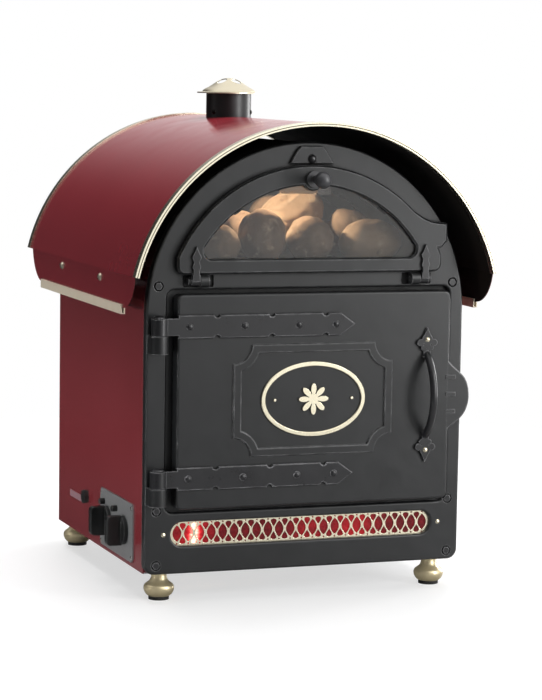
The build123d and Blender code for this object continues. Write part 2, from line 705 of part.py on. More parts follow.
def side_trims():
    pieces = []
    y0 = ROOF_FRONT + ROOF_FRONT_INSET + ROOF_CORNER
    y1 = ROOF_REAR - ROOF_REAR_INSET - ROOF_CORNER
    for side in (-1, 1):
        x = side * (FLAP_X - SHEET / 2)
        pieces.append(Pos(x, 0, ROOF_LOW) * slab(trim_profile(), y0, y1))
    return Compound(pieces)


def roof_spacers():
    keep_out = rod_y(SHELL_R, 0, BODY_D + 1.0, 0, ARCH_Z)
    pieces = []
    for side in (-1, 1):
        ends = sorted((side * (SHELL_R - SPACER_IN), side * (FLAP_X - SHEET)))
        for y in ROOF_SCREW_Y:
            tube = rod_x(SPACER_R, ends[0], ends[1], y, ROOF_SCREW_Z)
            tube -= rod_x(SCREW_R + SEAT, ends[0] - 1.0, ends[1] + 1.0, y, ROOF_SCREW_Z)
            pieces.append((tube - keep_out).solids().sort_by(SortBy.VOLUME)[-1])
    return Compound(pieces)


def roof_screws():
    """The roof's screws and the small ones of its chimney."""
    pieces = []
    drop = ROOF_SCREW_Z - ARCH_Z
    inner = sqrt(SHELL_IN ** 2 - drop ** 2)
    for side in (-1, 1):
        for y in ROOF_SCREW_Y:
            ends = sorted((side * (inner - 2 * ROOF_NUT_T), side * FLAP_X))
            screw = rod_x(SCREW_R, ends[0], ends[1], y, ROOF_SCREW_Z)
            head = Rot(0, 0, side * 90) * dome_y(ROOF_HEAD_R, ROOF_HEAD_H, -FLAP_X, 0, ROOF_SCREW_Z)
            nut_ends = sorted((side * (inner - ROOF_NUT_SEAT - ROOF_NUT_T), side * (inner - ROOF_NUT_SEAT)))
            nut = rod_x(ROOF_NUT_R, nut_ends[0], nut_ends[1], y, ROOF_SCREW_Z)
            pieces.append(screw + Pos(0, y, 0) * head + nut)
    return Compound(pieces + chimney_screws())


# ---------------------------------------------------------------- chimney
def chimney_screw(angle, extra=0.0):
    """A small screw through the tube into the roof's collar, at an angle from straight ahead."""
    z = ROOF_Z + ROOF_R + CHIMNEY_SCREW_H
    shank = rod_y(SMALL_SCREW_R + extra, -CHIMNEY_R, -CHIMNEY_R + CHIMNEY_SCREW_L, 0, z)
    return Pos(0, CHIMNEY_Y, 0) * Rot(0, 0, angle) * shank


def chimney_tube():
    tube = rod_z(CHIMNEY_R, ROOF_Z + ROOF_R - CHIMNEY_SINK, CHIMNEY_TOP, 0, CHIMNEY_Y)
    tube -= rod_z(CHIMNEY_R - SHEET, ROOF_Z, CHIMNEY_TOP + 1.0, 0, CHIMNEY_Y)
    tube -= rod_y(ROOF_R, 0, BODY_D + ROOF_R, 0, ROOF_Z)
    for angle in CHIMNEY_SCREWS:
        tube -= chimney_screw(angle, SEAT)
    return tube


def chimney_screws():
    z = ROOF_Z + ROOF_R + CHIMNEY_SCREW_H
    pieces = []
    head = dome_y(CHIMNEY_HEAD_R, CHIMNEY_HEAD_H, -CHIMNEY_R + 0.2, 0, z)
    head -= rod_z(CHIMNEY_R, z - 2 * CHIMNEY_HEAD_R, z + 2 * CHIMNEY_HEAD_R, 0, 0)
    for angle in CHIMNEY_SCREWS:
        place = Pos(0, CHIMNEY_Y, 0) * Rot(0, 0, angle)
        pieces.append(chimney_screw(angle) + place * head)
    return pieces


def chimney_cap():
    z0 = CHIMNEY_TOP
    crown = z0 + CAP_DOME_H
    t = CAP_BRIM_T
    outer = Spline((CAP_DOME_R + 1.5, z0 + t + 0.8), (CAP_DOME_R - 6.0, z0 + 8.0), (0, crown),
                   tangents=((-0.5, 1.0), (-1, 0)))
    inner = Spline((0, crown - t), (CAP_DOME_R - 8.5, z0 + 6.2), (CAP_DOME_R - 3.5, z0),
                   tangents=((1, 0), (0.5, -1.0)))
    edge = Polyline((CAP_DOME_R - 3.5, z0), (CAP_R, z0), (CAP_R, z0 + t), (CAP_DOME_R + 1.5, z0 + t + 0.8))
    profile = make_face(outer + Line((0, crown), (0, crown - t)) + inner + edge)
    cap = revolve(Plane.XZ * profile, Axis.Z)
    plug_r = CHIMNEY_R - SHEET - SEAT
    plug = rod_z(plug_r, z0 - CAP_PLUG_H, z0 + t, 0, 0) - rod_z(plug_r - t, z0 - CAP_PLUG_H - 1.0, crown, 0, 0)
    bridge = rod_z(CAP_DOME_R - 2.0, z0, z0 + t, 0, 0) - rod_z(plug_r - t, z0 - 1.0, crown, 0, 0)
    cap += plug + bridge
    for i in range(CAP_HOLES):
        angle = radians(CAP_HOLE_TURN + 360.0 / CAP_HOLES * i)
        cap -= rod_z(CAP_HOLE_R, z0 + CAP_DOME_H / 2, crown + 1.0,
                     CAP_HOLE_PITCH_R * cos(angle), CAP_HOLE_PITCH_R * sin(angle))
    return Pos(0, CHIMNEY_Y, 0) * cap


# ---------------------------------------------------------------- front plate
def recess_face():
    return rect(DOOR_X0 - RECESS_HINGE_GAP, DOOR_X1 + RECESS_FREE_GAP, DOOR_Z0 - RECESS_GAP,
                DOOR_Z1 + RECESS_TOP_GAP, RECESS_CORNER)


def slot_face(grow=0.0):
    return rect(SLOT_X[0] - grow, SLOT_X[1] + grow, SLOT_Z[0] - grow, SLOT_Z[1] + grow,
                (SLOT_Z[1] - SLOT_Z[0]) / 2 + grow - 0.01)


def grille_face(grow=0.0):
    return rect(SLOT_X[0] - GRILLE_MARGIN - grow, SLOT_X[1] + GRILLE_MARGIN + grow,
                SLOT_Z[0] - GRILLE_RISE - grow, SLOT_Z[1] + GRILLE_RISE + grow, 4.0)


def pivot_lug(side):
    """The block that carries one of the window's pivots."""
    x0 = ARM_X - ARM_W / 2 - FIT - PIVOT_LUG_W
    lug = rod_x(PIVOT_LUG_R, x0, x0 + PIVOT_LUG_W, PIVOT_Y, PIVOT_Z)
    lug += box(x0, x0 + PIVOT_LUG_W, PIVOT_Y, PIVOT_POCKET, PIVOT_Z - PIVOT_STEM, PIVOT_Z + PIVOT_STEM)
    lug -= rod_x(PIVOT_R + SEAT, x0 - 1.0, x0 + PIVOT_LUG_W + 1.0, PIVOT_Y, PIVOT_Z)
    return lug if side > 0 else mirror(lug, Plane.YZ)


def pintle_lug(z):
    """The block under a strap's eye, with the hole for the hinge pin."""
    top = z - EYE_H / 2 - FIT
    lug = rod_z(LUG_R, top - LUG_H, top, HINGE_X, HINGE_Y)
    lug += box(HINGE_X - LUG_R, HINGE_X + LUG_R, HINGE_Y, 1.0, top - LUG_H, top)
    return lug - rod_z(PIN_R + SEAT, top - LUG_H + PIN_FLOOR, top + OVER, HINGE_X, HINGE_Y)


def front_plate():
    plate = slab(tombstone(PLATE_R, FOOT_H, ARCH_Z, PLATE_CORNER), 0, PLATE_T)
    plate -= slab(recess_face(), -1.0, RECESS_DEPTH)
    plate -= slab(slot_face(), -1.0, PLATE_T + 1.0)
    plate = fillet(front_face(plate).edges(), PLATE_EDGE)
    plate -= slab(grille_face(1.0), SLOT_LIP, PLATE_T + 1.0)
    plate -= slab(mouth_face(corner=6.0), 0, PLATE_T + OVER)
    plate -= slab(arched(PORT_R, PORT_HALF, PORT_Z0, corner=8.0), -1.0, PLATE_T + 1.0)
    for side in (-1, 1):
        inner, outer = sorted((side * (ARM_X - PIVOT_POCKET_X[0]), side * (ARM_X + PIVOT_POCKET_X[1])))
        pocket = rect(inner, outer, PIVOT_Z - PIVOT_POCKET_Z[0], PIVOT_Z + PIVOT_POCKET_Z[1], 2.0)
        plate -= slab(pocket, -OVER, PIVOT_POCKET)
        plate += pivot_lug(side)
        for z in BOLT_Z:
            plate -= rod_y(BOLT_POCKET_R, -1.0, BOLT_POCKET, side * BOLT_X, z)
            plate -= rod_y(SCREW_R + SEAT, -1.0, PLATE_T + 1.0, side * BOLT_X, z)
    for x in GRILLE_SCREW_X:
        plate -= rod_y(SMALL_SCREW_R + SEAT, -OVER, PLATE_T + OVER, x, SLOT_MID)
    plate -= rod_y(SCREW_R + SEAT, -1.0, PLATE_T + 1.0, 0, CATCH_BOLT_Z)
    for z in STRAP_Z:
        plate += pintle_lug(z)
    return plate


def plate_bolts():
    """Hexagon bolts in the plate's corner pockets, and the window catch's dome bolt."""
    pieces = []
    end = PLATE_T + SHEET + BOLT_END
    for side in (-1, 1):
        for z in BOLT_Z:
            x = side * BOLT_X
            head = Pos(x, 0, z) * slab(RegularPolygon(BOLT_R + BOLT_HEX, 6), -BOLT_PROUD, BOLT_POCKET)
            head &= Pos(x, BOLT_POCKET, z) * Sphere(BOLT_R + 2.0)
            nut = rod_y(BOLT_R, PLATE_T + SHEET, end - 1.5, x, z)
            pieces.append(head + rod_y(SCREW_R, 0, end, x, z) + nut)
    catch = dome_y(CATCH_HEAD_R, CATCH_HEAD_H, -CATCH_T, 0, CATCH_BOLT_Z)
    pieces.append(catch + rod_y(SCREW_R, -CATCH_T - 1.0, PLATE_T - 1.0, 0, CATCH_BOLT_Z))
    return Compound(pieces)


def window_catch():
    low, high = CATCH_Z
    half, top = CATCH_W / 2, CATCH_TOP_W / 2
    wide, narrow, shoulder = top + CATCH_SHOULDER / 2, top - CATCH_SHOULDER / 2, high - CATCH_SHOULDER
    points = [(-half, low), (-wide, shoulder), (-narrow, high), (narrow, high), (wide, shoulder), (half, low)]
    plate = slab(outline(points), -CATCH_T, 0)
    plate = chamfer(front_face(plate).edges(), 1.2)
    return plate - rod_y(SCREW_R + SEAT, -CATCH_T - 1.0, 1.0, 0, CATCH_BOLT_Z)


def hinge_pins():
    pieces = []
    for z in STRAP_Z:
        low = z - EYE_H / 2 - FIT - LUG_H + PIN_FLOOR
        high = z + EYE_H / 2 + FIT
        pin = rod_z(PIN_R, low, high + 1.0, HINGE_X, HINGE_Y)
        head = Pos(HINGE_X, HINGE_Y, high) * scale(Sphere(PIN_HEAD_R), by=(1, 1, PIN_HEAD_H / PIN_HEAD_R))
        head &= rod_z(PIN_HEAD_R + 1.0, high, high + PIN_HEAD_H + 1.0, HINGE_X, HINGE_Y)
        pieces.append(pin + head)
    return Compound(pieces)


# ---------------------------------------------------------------- ember slot
def ember_grille():
    """A brass plate pierced with crossing waves: upright ovals, and half ovals along both edges."""
    plate = slab(grille_face(), SLOT_LIP, SLOT_LIP + GRILLE_T)
    pitch = (SLOT_X[1] - SLOT_X[0] - 2 * GRILLE_BAR) / GRILLE_CELLS
    tall = (SLOT_Z[1] - SLOT_Z[0]) / 2 - 2 * GRILLE_BAR
    holes = None
    for i in range(GRILLE_CELLS):
        x = SLOT_X[0] + GRILLE_BAR + (i + 0.5) * pitch
        oval = Pos(x, SLOT_MID) * Ellipse((pitch - GRILLE_BAR) / 2, tall)
        holes = oval if holes is None else holes + oval
        if 0 < i:
            for edge in (-1, 1):
                cell = Ellipse(pitch * EDGE_CELL[0], EDGE_CELL[1])
                holes += Pos(x - pitch / 2, SLOT_MID + edge * (tall - EDGE_CELL_IN)) * cell
    plate -= slab(holes, SLOT_LIP - 1.0, SLOT_LIP + GRILLE_T + 1.0)
    for x in GRILLE_SCREW_X:
        plate -= rod_y(SMALL_SCREW_R + SEAT, SLOT_LIP - OVER, PLATE_T, x, SLOT_MID)
    return plate


def grille_screws():
    pieces = []
    for x in GRILLE_SCREW_X:
        head = dome_y(GRILLE_HEAD_R, GRILLE_HEAD_H, 0, x, SLOT_MID)
        pieces.append(head + rod_y(SMALL_SCREW_R, -GRILLE_HEAD_H / 3, PLATE_T + OVER, x, SLOT_MID))
    return Compound(pieces)


def ember_lens():
    lens = slab(grille_face(-1.0), SLOT_LIP + GRILLE_T, SLOT_LIP + GRILLE_T + LENS_T)
    for x in GRILLE_SCREW_X:
        lens -= rod_y(SMALL_SCREW_R + SEAT, SLOT_LIP, PLATE_T + OVER, x, SLOT_MID)
    return lens


def lamp_bulbs():
    end = EMBER_X + EMBER_L
    ember = rod_x(EMBER_R, EMBER_X, end, EMBER_Y, SLOT_MID) + Pos(end, EMBER_Y, SLOT_MID) * Sphere(EMBER_R)
    end = DISPLAY_LAMP_X - DISPLAY_LAMP_L
    show = rod_x(DISPLAY_LAMP_R, end, DISPLAY_LAMP_X, DISPLAY_LAMP_Y, DISPLAY_LAMP_Z)
    show += Pos(end, DISPLAY_LAMP_Y, DISPLAY_LAMP_Z) * Sphere(DISPLAY_LAMP_R)
    return Compound([ember, show])


def lamp_holders():
    ember = rod_x(EMBER_R + 3.0, EMBER_X - EMBER_HOLDER, EMBER_X, EMBER_Y, SLOT_MID)
    ember += box(EMBER_X - EMBER_HOLDER + 4.0, EMBER_X - 6.0, EMBER_Y - 8.0, EMBER_Y + 8.0,
                 FOOT_H + SHEET, SLOT_MID)
    half = DISPLAY_HOLDER / 2
    show = box(DISPLAY_LAMP_X, DISPLAY_LAMP_X + DISPLAY_HOLDER, DISPLAY_LAMP_Y - half,
               DISPLAY_LAMP_Y + half, DISPLAY_LAMP_Z - half, WINDOW_Z + DISPLAY_R)
    show &= rod_y(DISPLAY_R - LINER, PLATE_T, BODY_D, 0, WINDOW_Z)
    return Compound([ember, show])


# ---------------------------------------------------------------- main door
def badge_face(inset, grow=0.0):
    """The badge panel's outline: a rectangle with hollow round corners, drawn inwards by inset."""
    half_w, half_h = BADGE_W / 2, BADGE_H / 2
    face = rect(BADGE_X - half_w + inset, BADGE_X + half_w - inset,
                BADGE_Z - half_h + inset, BADGE_Z + half_h - inset)
    for sx in (-1, 1):
        for sz in (-1, 1):
            face -= disc(BADGE_CORNER + inset + grow, BADGE_X + sx * half_w, BADGE_Z + sz * half_h)
    return face


def ear_face():
    """Thumb ear on the door's free edge."""
    root, tip = DOOR_X1 - EAR_ROOT, DOOR_X1 + EAR_OUT
    high, low = EAR_Z + EAR_H / 2, EAR_Z - EAR_H / 2
    edge = Spline((root, high + 3.0), (DOOR_X1 + 6.0, high - 9.0), (tip - 6.0, high - 25.0), (tip, EAR_Z + 2.0),
                  (tip - 8.5, low + 17.0), (DOOR_X1 + 5.0, low + 4.0), (root, low - 3.0))
    return make_face(edge + Line(edge @ 1, edge @ 0))


def door_casting():
    door = slab(rect(DOOR_X0, DOOR_X1, DOOR_Z0, DOOR_Z1, DOOR_CORNER), DOOR_FRONT, DOOR_BACK)
    door = fillet(front_face(door).edges(), DOOR_EDGE)
    ear = slab(ear_face(), DOOR_FRONT, DOOR_FRONT + EAR_T)
    door += chamfer(front_face(ear).edges(), 1.5)
    door -= slab(rect(DOOR_X0 + DOOR_RIM, DOOR_X1 - DOOR_RIM, DOOR_Z0 + DOOR_RIM, DOOR_Z1 - DOOR_RIM, 4.0),
                 DOOR_FRONT + DOOR_SKIN, DOOR_BACK + 1.0)
    border = slab(badge_face(0) - badge_face(BORDER_W), DOOR_FRONT - BORDER_H, DOOR_FRONT)
    door += chamfer(front_face(border).edges(), 1.0)
    for i in range(EAR_BARS):
        z = EAR_Z + (i - (EAR_BARS - 1) / 2) * EAR_BAR_PITCH
        bar = rect(DOOR_X1 - EAR_BAR_IN, DOOR_X1 - EAR_BAR_IN + EAR_BAR_L, z - EAR_BAR_W / 2, z + EAR_BAR_W / 2)
        door += slab(bar, DOOR_FRONT - EAR_BAR_H, DOOR_FRONT)
    return door


def door_straps():
    """Strap hinges with notched edges and a pointed tip, each with the eye that turns on its pin."""
    pieces = []
    tip = HINGE_X + STRAP_REACH
    for z in STRAP_Z:
        half = STRAP_H / 2
        face = rect(DOOR_X0, tip, z - half, z + half)
        face += outline([(tip, z - half), (tip + STRAP_TIP, z), (tip, z + half)])
        for x in NOTCH_X:
            face -= disc(NOTCH_R, x, z + half + NOTCH_OUT) + disc(NOTCH_R, x, z - half - NOTCH_OUT)
        strap = slab(face, DOOR_FRONT - STRAP_T, DOOR_FRONT)
        strap = chamfer(front_face(strap).edges(), 1.0)
        low, high = z - EYE_H / 2, z + EYE_H / 2
        strap += box(HINGE_X, DOOR_X0 + 2.0, DOOR_FRONT - STRAP_T, DOOR_FRONT, low, high)
        strap += rod_z(EYE_R, low, high, HINGE_X, HINGE_Y)
        pieces.append(strap - rod_z(PIN_R + FIT, low - 1.0, high + 1.0, HINGE_X, HINGE_Y))
    return Compound(pieces)


def strap_rivets():
    face_y = DOOR_FRONT - STRAP_T
    return Compound([dome_y(RIVET_R, RIVET_H, face_y, x, z) for z in STRAP_Z for x in RIVET_X])


def leaf_face(up):
    """One end of the handle: a disc under its screw, a pointed tip, two wings and a stem."""
    z = HANDLE_Z + up * HANDLE_SCREWS / 2
    face = disc(LEAF_R, HANDLE_X, z)
    shoulder = z + up * 3.0
    face += outline([(HANDLE_X - LEAF_TIP_HALF, shoulder), (HANDLE_X, z + up * LEAF_TIP),
                     (HANDLE_X + LEAF_TIP_HALF, shoulder)])
    for side in (-1, 1):
        face += disc(LEAF_WING_R, HANDLE_X + side * LEAF_WING, z - up * 4.0)
        face += disc(LEAF_WING_R * 0.7, HANDLE_X + side * LEAF_WING * 0.6, z - up * 11.0)
    stem = sorted((z, z - up * (LEAF_STEM + 6.0)))
    return face + rect(HANDLE_X - HANDLE_R, HANDLE_X + HANDLE_R, stem[0], stem[1], 2.0)


def door_handle():
    y0 = DOOR_FRONT
    reach = HANDLE_SCREWS / 2 - LEAF_STEM
    path = ThreePointArc((HANDLE_X, y0 - 2.0, HANDLE_Z + reach), (HANDLE_X, -HANDLE_OUT, HANDLE_Z),
                         (HANDLE_X, y0 - 2.0, HANDLE_Z - reach))
    bar = sweep(Plane(origin=path @ 0, z_dir=path % 0) * Circle(HANDLE_R), path=path)
    room = 2 * HANDLE_R
    handle = bar - box(HANDLE_X - room, HANDLE_X + room, y0, y0 + room,
                       HANDLE_Z - 2 * reach, HANDLE_Z + 2 * reach)
    for up in (-1, 1):
        handle += slab(leaf_face(up), y0 - LEAF_T, y0)
        handle -= rod_y(HANDLE_SCREW_R + SEAT, y0 - 2 * LEAF_T, y0 + OVER, HANDLE_X,
                        HANDLE_Z + up * HANDLE_SCREWS / 2)
    return handle


def handle_screws():
    pieces = []
    for up in (-1, 1):
        z = HANDLE_Z + up * HANDLE_SCREWS / 2
        head = dome_y(HANDLE_HEAD_R, HANDLE_HEAD_H, DOOR_FRONT - LEAF_T, HANDLE_X, z)
        shank_y = DOOR_FRONT - LEAF_T - HANDLE_HEAD_H / 2
        pieces.append(head + rod_y(HANDLE_SCREW_R, shank_y, DOOR_FRONT, HANDLE_X, z))
    return Compound(pieces)


def badge_ring():
    """Oval brass frame on the door, with its two fixing pins."""
    ring = Ellipse(OVAL_A, OVAL_B) - Ellipse(OVAL_A - OVAL_BAND, OVAL_B - OVAL_BAND)
    body = slab(Pos(BADGE_X, BADGE_Z) * ring, DOOR_FRONT - OVAL_T, DOOR_FRONT)
    pieces = [chamfer(front_face(body).edges(), 0.8)]
    for side in (-1, 1):
        pieces.append(rod_y(OVAL_PIN_R, DOOR_FRONT - OVAL_T, DOOR_FRONT, BADGE_X + side * OVAL_PIN_X, BADGE_Z))
    return Compound(pieces)


def badge_ornament():
    """A plain rosette in the oval's middle."""
    face = disc(ROSETTE_R, BADGE_X, BADGE_Z)
    for i in range(PETALS):
        angle = 2 * pi * i / PETALS
        petal = Rot(0, 0, degrees(angle)) * (Pos(PETAL_OUT, 0) * Ellipse(*PETAL))
        face += Pos(BADGE_X, BADGE_Z) * petal
    return slab(face, DOOR_FRONT - OVAL_T, DOOR_FRONT)


def door_liner():
    """Turned sheet that closes the back of the door's casting."""
    gap = DOOR_RIM + SEAT
    pan = slab(rect(DOOR_X0 + gap, DOOR_X1 - gap, DOOR_Z0 + gap, DOOR_Z1 - gap, 4.0), DOOR_FRONT + DOOR_SKIN,
               DOOR_BACK)
    gap += LINER
    return pan - slab(rect(DOOR_X0 + gap, DOOR_X1 - gap, DOOR_Z0 + gap, DOOR_Z1 - gap, 3.0),
                      DOOR_FRONT + DOOR_SKIN - 1.0, DOOR_BACK - LINER)


def door_seal():
    """Woven seal round the chamber's mouth, carried on the door's liner."""
    inner = mouth_face(SEAL_IN[0], SEAL_IN[1], 5.0)
    outer = mouth_face(SEAL_IN[0] + SEAL_W[0], SEAL_IN[1] + SEAL_W[1], 9.0)
    return slab(outer - inner, DOOR_BACK, RECESS_DEPTH - FIT)


def mouth_face(across=0.0, up=0.0, corner=0.0):
    """The chamber's mouth, grown sideways and up and down."""
    return rect(MOUTH_X[0] - across, MOUTH_X[1] + across, MOUTH_Z[0] - up, MOUTH_Z[1] + up, corner)


# ---------------------------------------------------------------- display window
def horn_face():
    """The horn cast on the frame's right side, running tangent into its arc."""
    right = WINDOW_HALF + HORN_OUT
    root = WINDOW_HALF - HORN_ROOT
    low, high = HORN_Z
    arc_z = WINDOW_Z + sqrt(WINDOW_R ** 2 - root ** 2) - 1.0
    points = [(root, arc_z), (right - 34.0, high + 7.5), (right - 22.0, high + 2.5), (right, high),
              (right, low + 9.0), (WINDOW_HALF, low), (root, low)]
    return outline(points)


def window_frame():
    face = arched(WINDOW_R, WINDOW_HALF, WINDOW_Z0, corner=WINDOW_CORNER)
    face += horn_face()
    face -= arched(GLASS_R, GLASS_HALF, GLASS_Z0, corner=WINDOW_CORNER)
    face += disc(KNOB_BOSS_R, 0, KNOB_Z)
    frame = slab(face, WINDOW_FRONT, WINDOW_BACK)
    frame = chamfer(front_face(frame).edges(), WINDOW_EDGE)
    frame -= slab(glass_face(SEAT), WINDOW_BACK - GLASS_T, WINDOW_BACK + 1.0)
    return frame - rod_y(KNOB_STUD_R + SEAT, WINDOW_FRONT - OVER, WINDOW_BACK, 0, KNOB_Z + KNOB_RISE)


def glass_face(grow=0.0):
    lap = GLASS_LAP + grow
    return arched(GLASS_R + lap, GLASS_HALF + lap, GLASS_Z0 - lap, corner=WINDOW_CORNER)


def window_glass():
    return slab(glass_face(), WINDOW_BACK - GLASS_T, WINDOW_BACK)


def glass_clips():
    """Small clips that hold the pane in the frame from behind."""
    pieces = []
    half, back = CLIP_W / 2, WINDOW_BACK + CLIP_T
    for x in (-CLIP_X, CLIP_X):
        pieces.append(box(x - half, x + half, WINDOW_BACK, back, PORT_Z0 + CLIP_CLEAR, GLASS_Z0))
    radius = GLASS_R + 2.0
    for angle in (-CLIP_ANGLE, CLIP_ANGLE):
        clip = box(-half, half, WINDOW_BACK, back, -GLASS_LAP, PORT_R - radius - CLIP_CLEAR)
        place = Pos(radius * sin(radians(angle)), 0, WINDOW_Z + radius * cos(radians(angle)))
        pieces.append(place * Rot(0, angle, 0) * clip)
    return Compound(pieces)


def window_arm(side):
    """A leaf-shaped hinge arm on the frame's front, with the eye that turns on its pivot."""
    x = ARM_X
    face = rect(x - 4.0, x + 4.0, PIVOT_Z + ARM_EYE_R, ARM_TOP - 10.0)
    face += outline([(x - 5.0, ARM_TOP - 12.0), (x, ARM_TOP), (x + 5.0, ARM_TOP - 12.0)])
    for z, r in ((ARM_TOP - 14.0, ARM_W / 2), (ARM_TOP - 26.0, ARM_W / 2 - 0.5)):
        face += disc(r, x, z)
    arm = slab(face, WINDOW_FRONT - ARM_T, WINDOW_FRONT)
    x0, x1 = x - ARM_W / 2, x + ARM_W / 2
    arm += box(x0 + 1.0, x1 - 1.0, WINDOW_FRONT - ARM_T, PIVOT_Y, PIVOT_Z, WINDOW_Z0 - FIT)
    arm += rod_x(ARM_EYE_R, x0, x1, PIVOT_Y, PIVOT_Z)
    arm -= rod_x(PIVOT_R + FIT, x0 - 1.0, x1 + 1.0, PIVOT_Y, PIVOT_Z)
    return arm if side > 0 else mirror(arm, Plane.YZ)


def window_pivots():
    x0 = ARM_X - ARM_W / 2 - FIT - PIVOT_LUG_W
    x1 = ARM_X + ARM_W / 2 + FIT
    pin = rod_x(PIVOT_R, x0 - OVER, x1 + OVER, PIVOT_Y, PIVOT_Z)
    pin += rod_x(PIVOT_HEAD_R, x1, x1 + PIVOT_HEAD_T, PIVOT_Y, PIVOT_Z)
    return Compound([pin, mirror(pin, Plane.YZ)])


def window_knob():
    z = KNOB_Z + KNOB_RISE
    knob = Pos(0, KNOB_BALL_Y, z) * Sphere(KNOB_BALL_R)
    knob += rod_y(KNOB_NECK_R, KNOB_BALL_Y, WINDOW_FRONT, 0, z)
    knob += rod_y(KNOB_STUD_R, WINDOW_FRONT, (WINDOW_FRONT + WINDOW_BACK) / 2, 0, z)
    return knob + rod_y(KNOB_FLANGE_R, WINDOW_FRONT - KNOB_FLANGE_T, WINDOW_FRONT, 0, z)


# ---------------------------------------------------------------- chambers
def oven_liner():
    y0, y1 = PLATE_T, OVEN_BACK
    liner = slab(mouth_face(LINER, LINER), y0, y1 + LINER)
    liner += slab(mouth_face(LINER_FLANGE, LINER_FLANGE), y0, y0 + LINER)
    liner -= slab(mouth_face(), y0 - OVER, y1)
    liner -= rod_y(SHAFT_R + SHAFT_ROOM, y1 - OVER, y1 + LINER + OVER, CENTRE_X, CENTRE_Z)
    for x in ELEMENT_LEAD_X:
        liner -= rod_y(ELEMENT_TUBE_R + SEAT, y1 - OVER, y1 + LINER + OVER, x, CENTRE_Z - ELEMENT_R)
    return liner


def insulation():
    y0, y1 = PLATE_T + LINER, OVEN_BACK + LINER
    outer = LINER + WOOL_T
    wool = slab(mouth_face(outer, outer), y0, y1 + WOOL_T) - slab(mouth_face(LINER, LINER), y0 - OVER, y1)
    wool -= rod_y(MOTOR_PLATE_R + 2.0, y1 - OVER, y1 + WOOL_T + OVER, CENTRE_X, CENTRE_Z)
    for x in ELEMENT_LEAD_X:
        wool -= rod_y(ELEMENT_TUBE_R + 1.0, y1 - OVER, y1 + WOOL_T + OVER, x, CENTRE_Z - ELEMENT_R)
    return wool


def shelf_runners():
    """Two ledges along each side wall of the chamber."""
    pieces = []
    for z in SHELF_Z:
        for wall, inward in ((MOUTH_X[0], 1), (MOUTH_X[1], -1)):
            x0, x1 = sorted((wall, wall + inward * RUNNER_W))
            ledge = box(x0, x1, SHELF_FRONT, SHELF_FRONT + SHELF_D, z - RUNNER_T, z)
            side0, side1 = sorted((wall, wall + inward * RUNNER_T))
            ledge += box(side0, side1, SHELF_FRONT, SHELF_FRONT + SHELF_D, z - RUNNER_H, z)
            pieces.append(ledge)
    return Compound(pieces)


def wire_shelves():
    """Two welded wire shelves on the runners."""
    x0, x1 = MOUTH_X[0] + SHELF_SIDE_GAP + SHELF_RIM_R, MOUTH_X[1] - SHELF_SIDE_GAP - SHELF_RIM_R
    y0, y1 = SHELF_FRONT + SHELF_RIM_R, SHELF_FRONT + SHELF_D - SHELF_RIM_R
    pieces = []
    for level in SHELF_Z:
        z = level + SHELF_RIM_R
        shelf = rod_y(SHELF_RIM_R, y0, y1, x0, z) + rod_y(SHELF_RIM_R, y0, y1, x1, z)
        for y in (y0, y1):
            shelf += rod_x(SHELF_RIM_R, x0 - SHELF_RIM_R, x1 + SHELF_RIM_R, y, z)
        for i in range(SHELF_WIRES):
            x = x0 + (x1 - x0) * (i + 1) / (SHELF_WIRES + 1)
            shelf += rod_y(SHELF_WIRE_R, y0, y1, x, z)
        pieces.append(shelf)
    return Compound(pieces)


def display_face(inset):
    return arched(DISPLAY_R - inset, DISPLAY_HALF - inset, DISPLAY_Z0 + inset)


def display_liner():
    y0, y1 = PLATE_T, PLATE_T + DISPLAY_D
    return slab(display_face(0), y0, y1 + LINER) - slab(display_face(LINER), y0 - OVER, y1)


def display_tray():
    """Floor tray of the display chamber, with rows of vent holes."""
    half = DISPLAY_HALF - LINER - TRAY_GAP
    z0 = DISPLAY_Z0 + LINER
    y0, y1 = PLATE_T + TRAY_GAP, PLATE_T + DISPLAY_D - TRAY_GAP
    tray = box(-half, half, y0, y1, z0, z0 + TRAY_H)
    tray -= box(-half + LINER, half - LINER, y0 - OVER, y1 + OVER, z0 - OVER, z0 + TRAY_H - LINER)
    for row in range(TRAY_HOLES[1]):
        for column in range(TRAY_HOLES[0]):
            x = (column - (TRAY_HOLES[0] - 1) / 2) * TRAY_HOLE_PITCH[0]
            y = y0 + TRAY_HOLE_PITCH[0] + row * TRAY_HOLE_PITCH[1]
            tray -= rod_z(VENT_R, z0, z0 + TRAY_H + OVER, x, y)
    return tray


# ---------------------------------------------------------------- potatoes on the display tray
def potato_axis(x, y, z, half, turn, tilt):
    """The line between the centres of a potato's round ends."""
    reach = Vector(half, 0, 0).rotate(Axis.Y, -tilt).rotate(Axis.Z, turn)
    middle = Vector(x, y, z)
    return Line(middle - reach, middle + reach)


def potato(axis, radius):
    """A plain tuber: a round bar with ball ends along its axis."""
    half = axis.length / 2
    section = (Line((0, -half - radius), (0, half + radius))
               + CenterArc((0, half), radius, 0, 90)
               + Line((radius, half), (radius, -half))
               + CenterArc((0, -half), radius, -90, 90))
    upright = revolve(Plane.XZ * make_face(section), Axis.Z)
    return Plane(origin=axis @ 0.5, z_dir=axis % 0.5) * upright


def clear_of(axis, radius, laid):
    return all(axis.distance_to(other) >= radius + size + POTATO_GAP for other, size in laid)


def settled_axis(x, y, radius, half, turn, tilt, laid):
    """Lowers a potato on to the tray, or on to the ones laid before it."""
    tray_top = DISPLAY_Z0 + LINER + TRAY_H
    low = tray_top + POTATO_GAP + radius + half * abs(sin(radians(tilt)))
    high = tray_top + POTATO_HEAP
    axis = potato_axis(x, y, low, half, turn, tilt)
    if clear_of(axis, radius, laid):
        return axis
    while high - low > POTATO_STEP:
        middle = (low + high) / 2
        if clear_of(potato_axis(x, y, middle, half, turn, tilt), radius, laid):
            high = middle
        else:
            low = middle
    return potato_axis(x, y, high, half, turn, tilt)


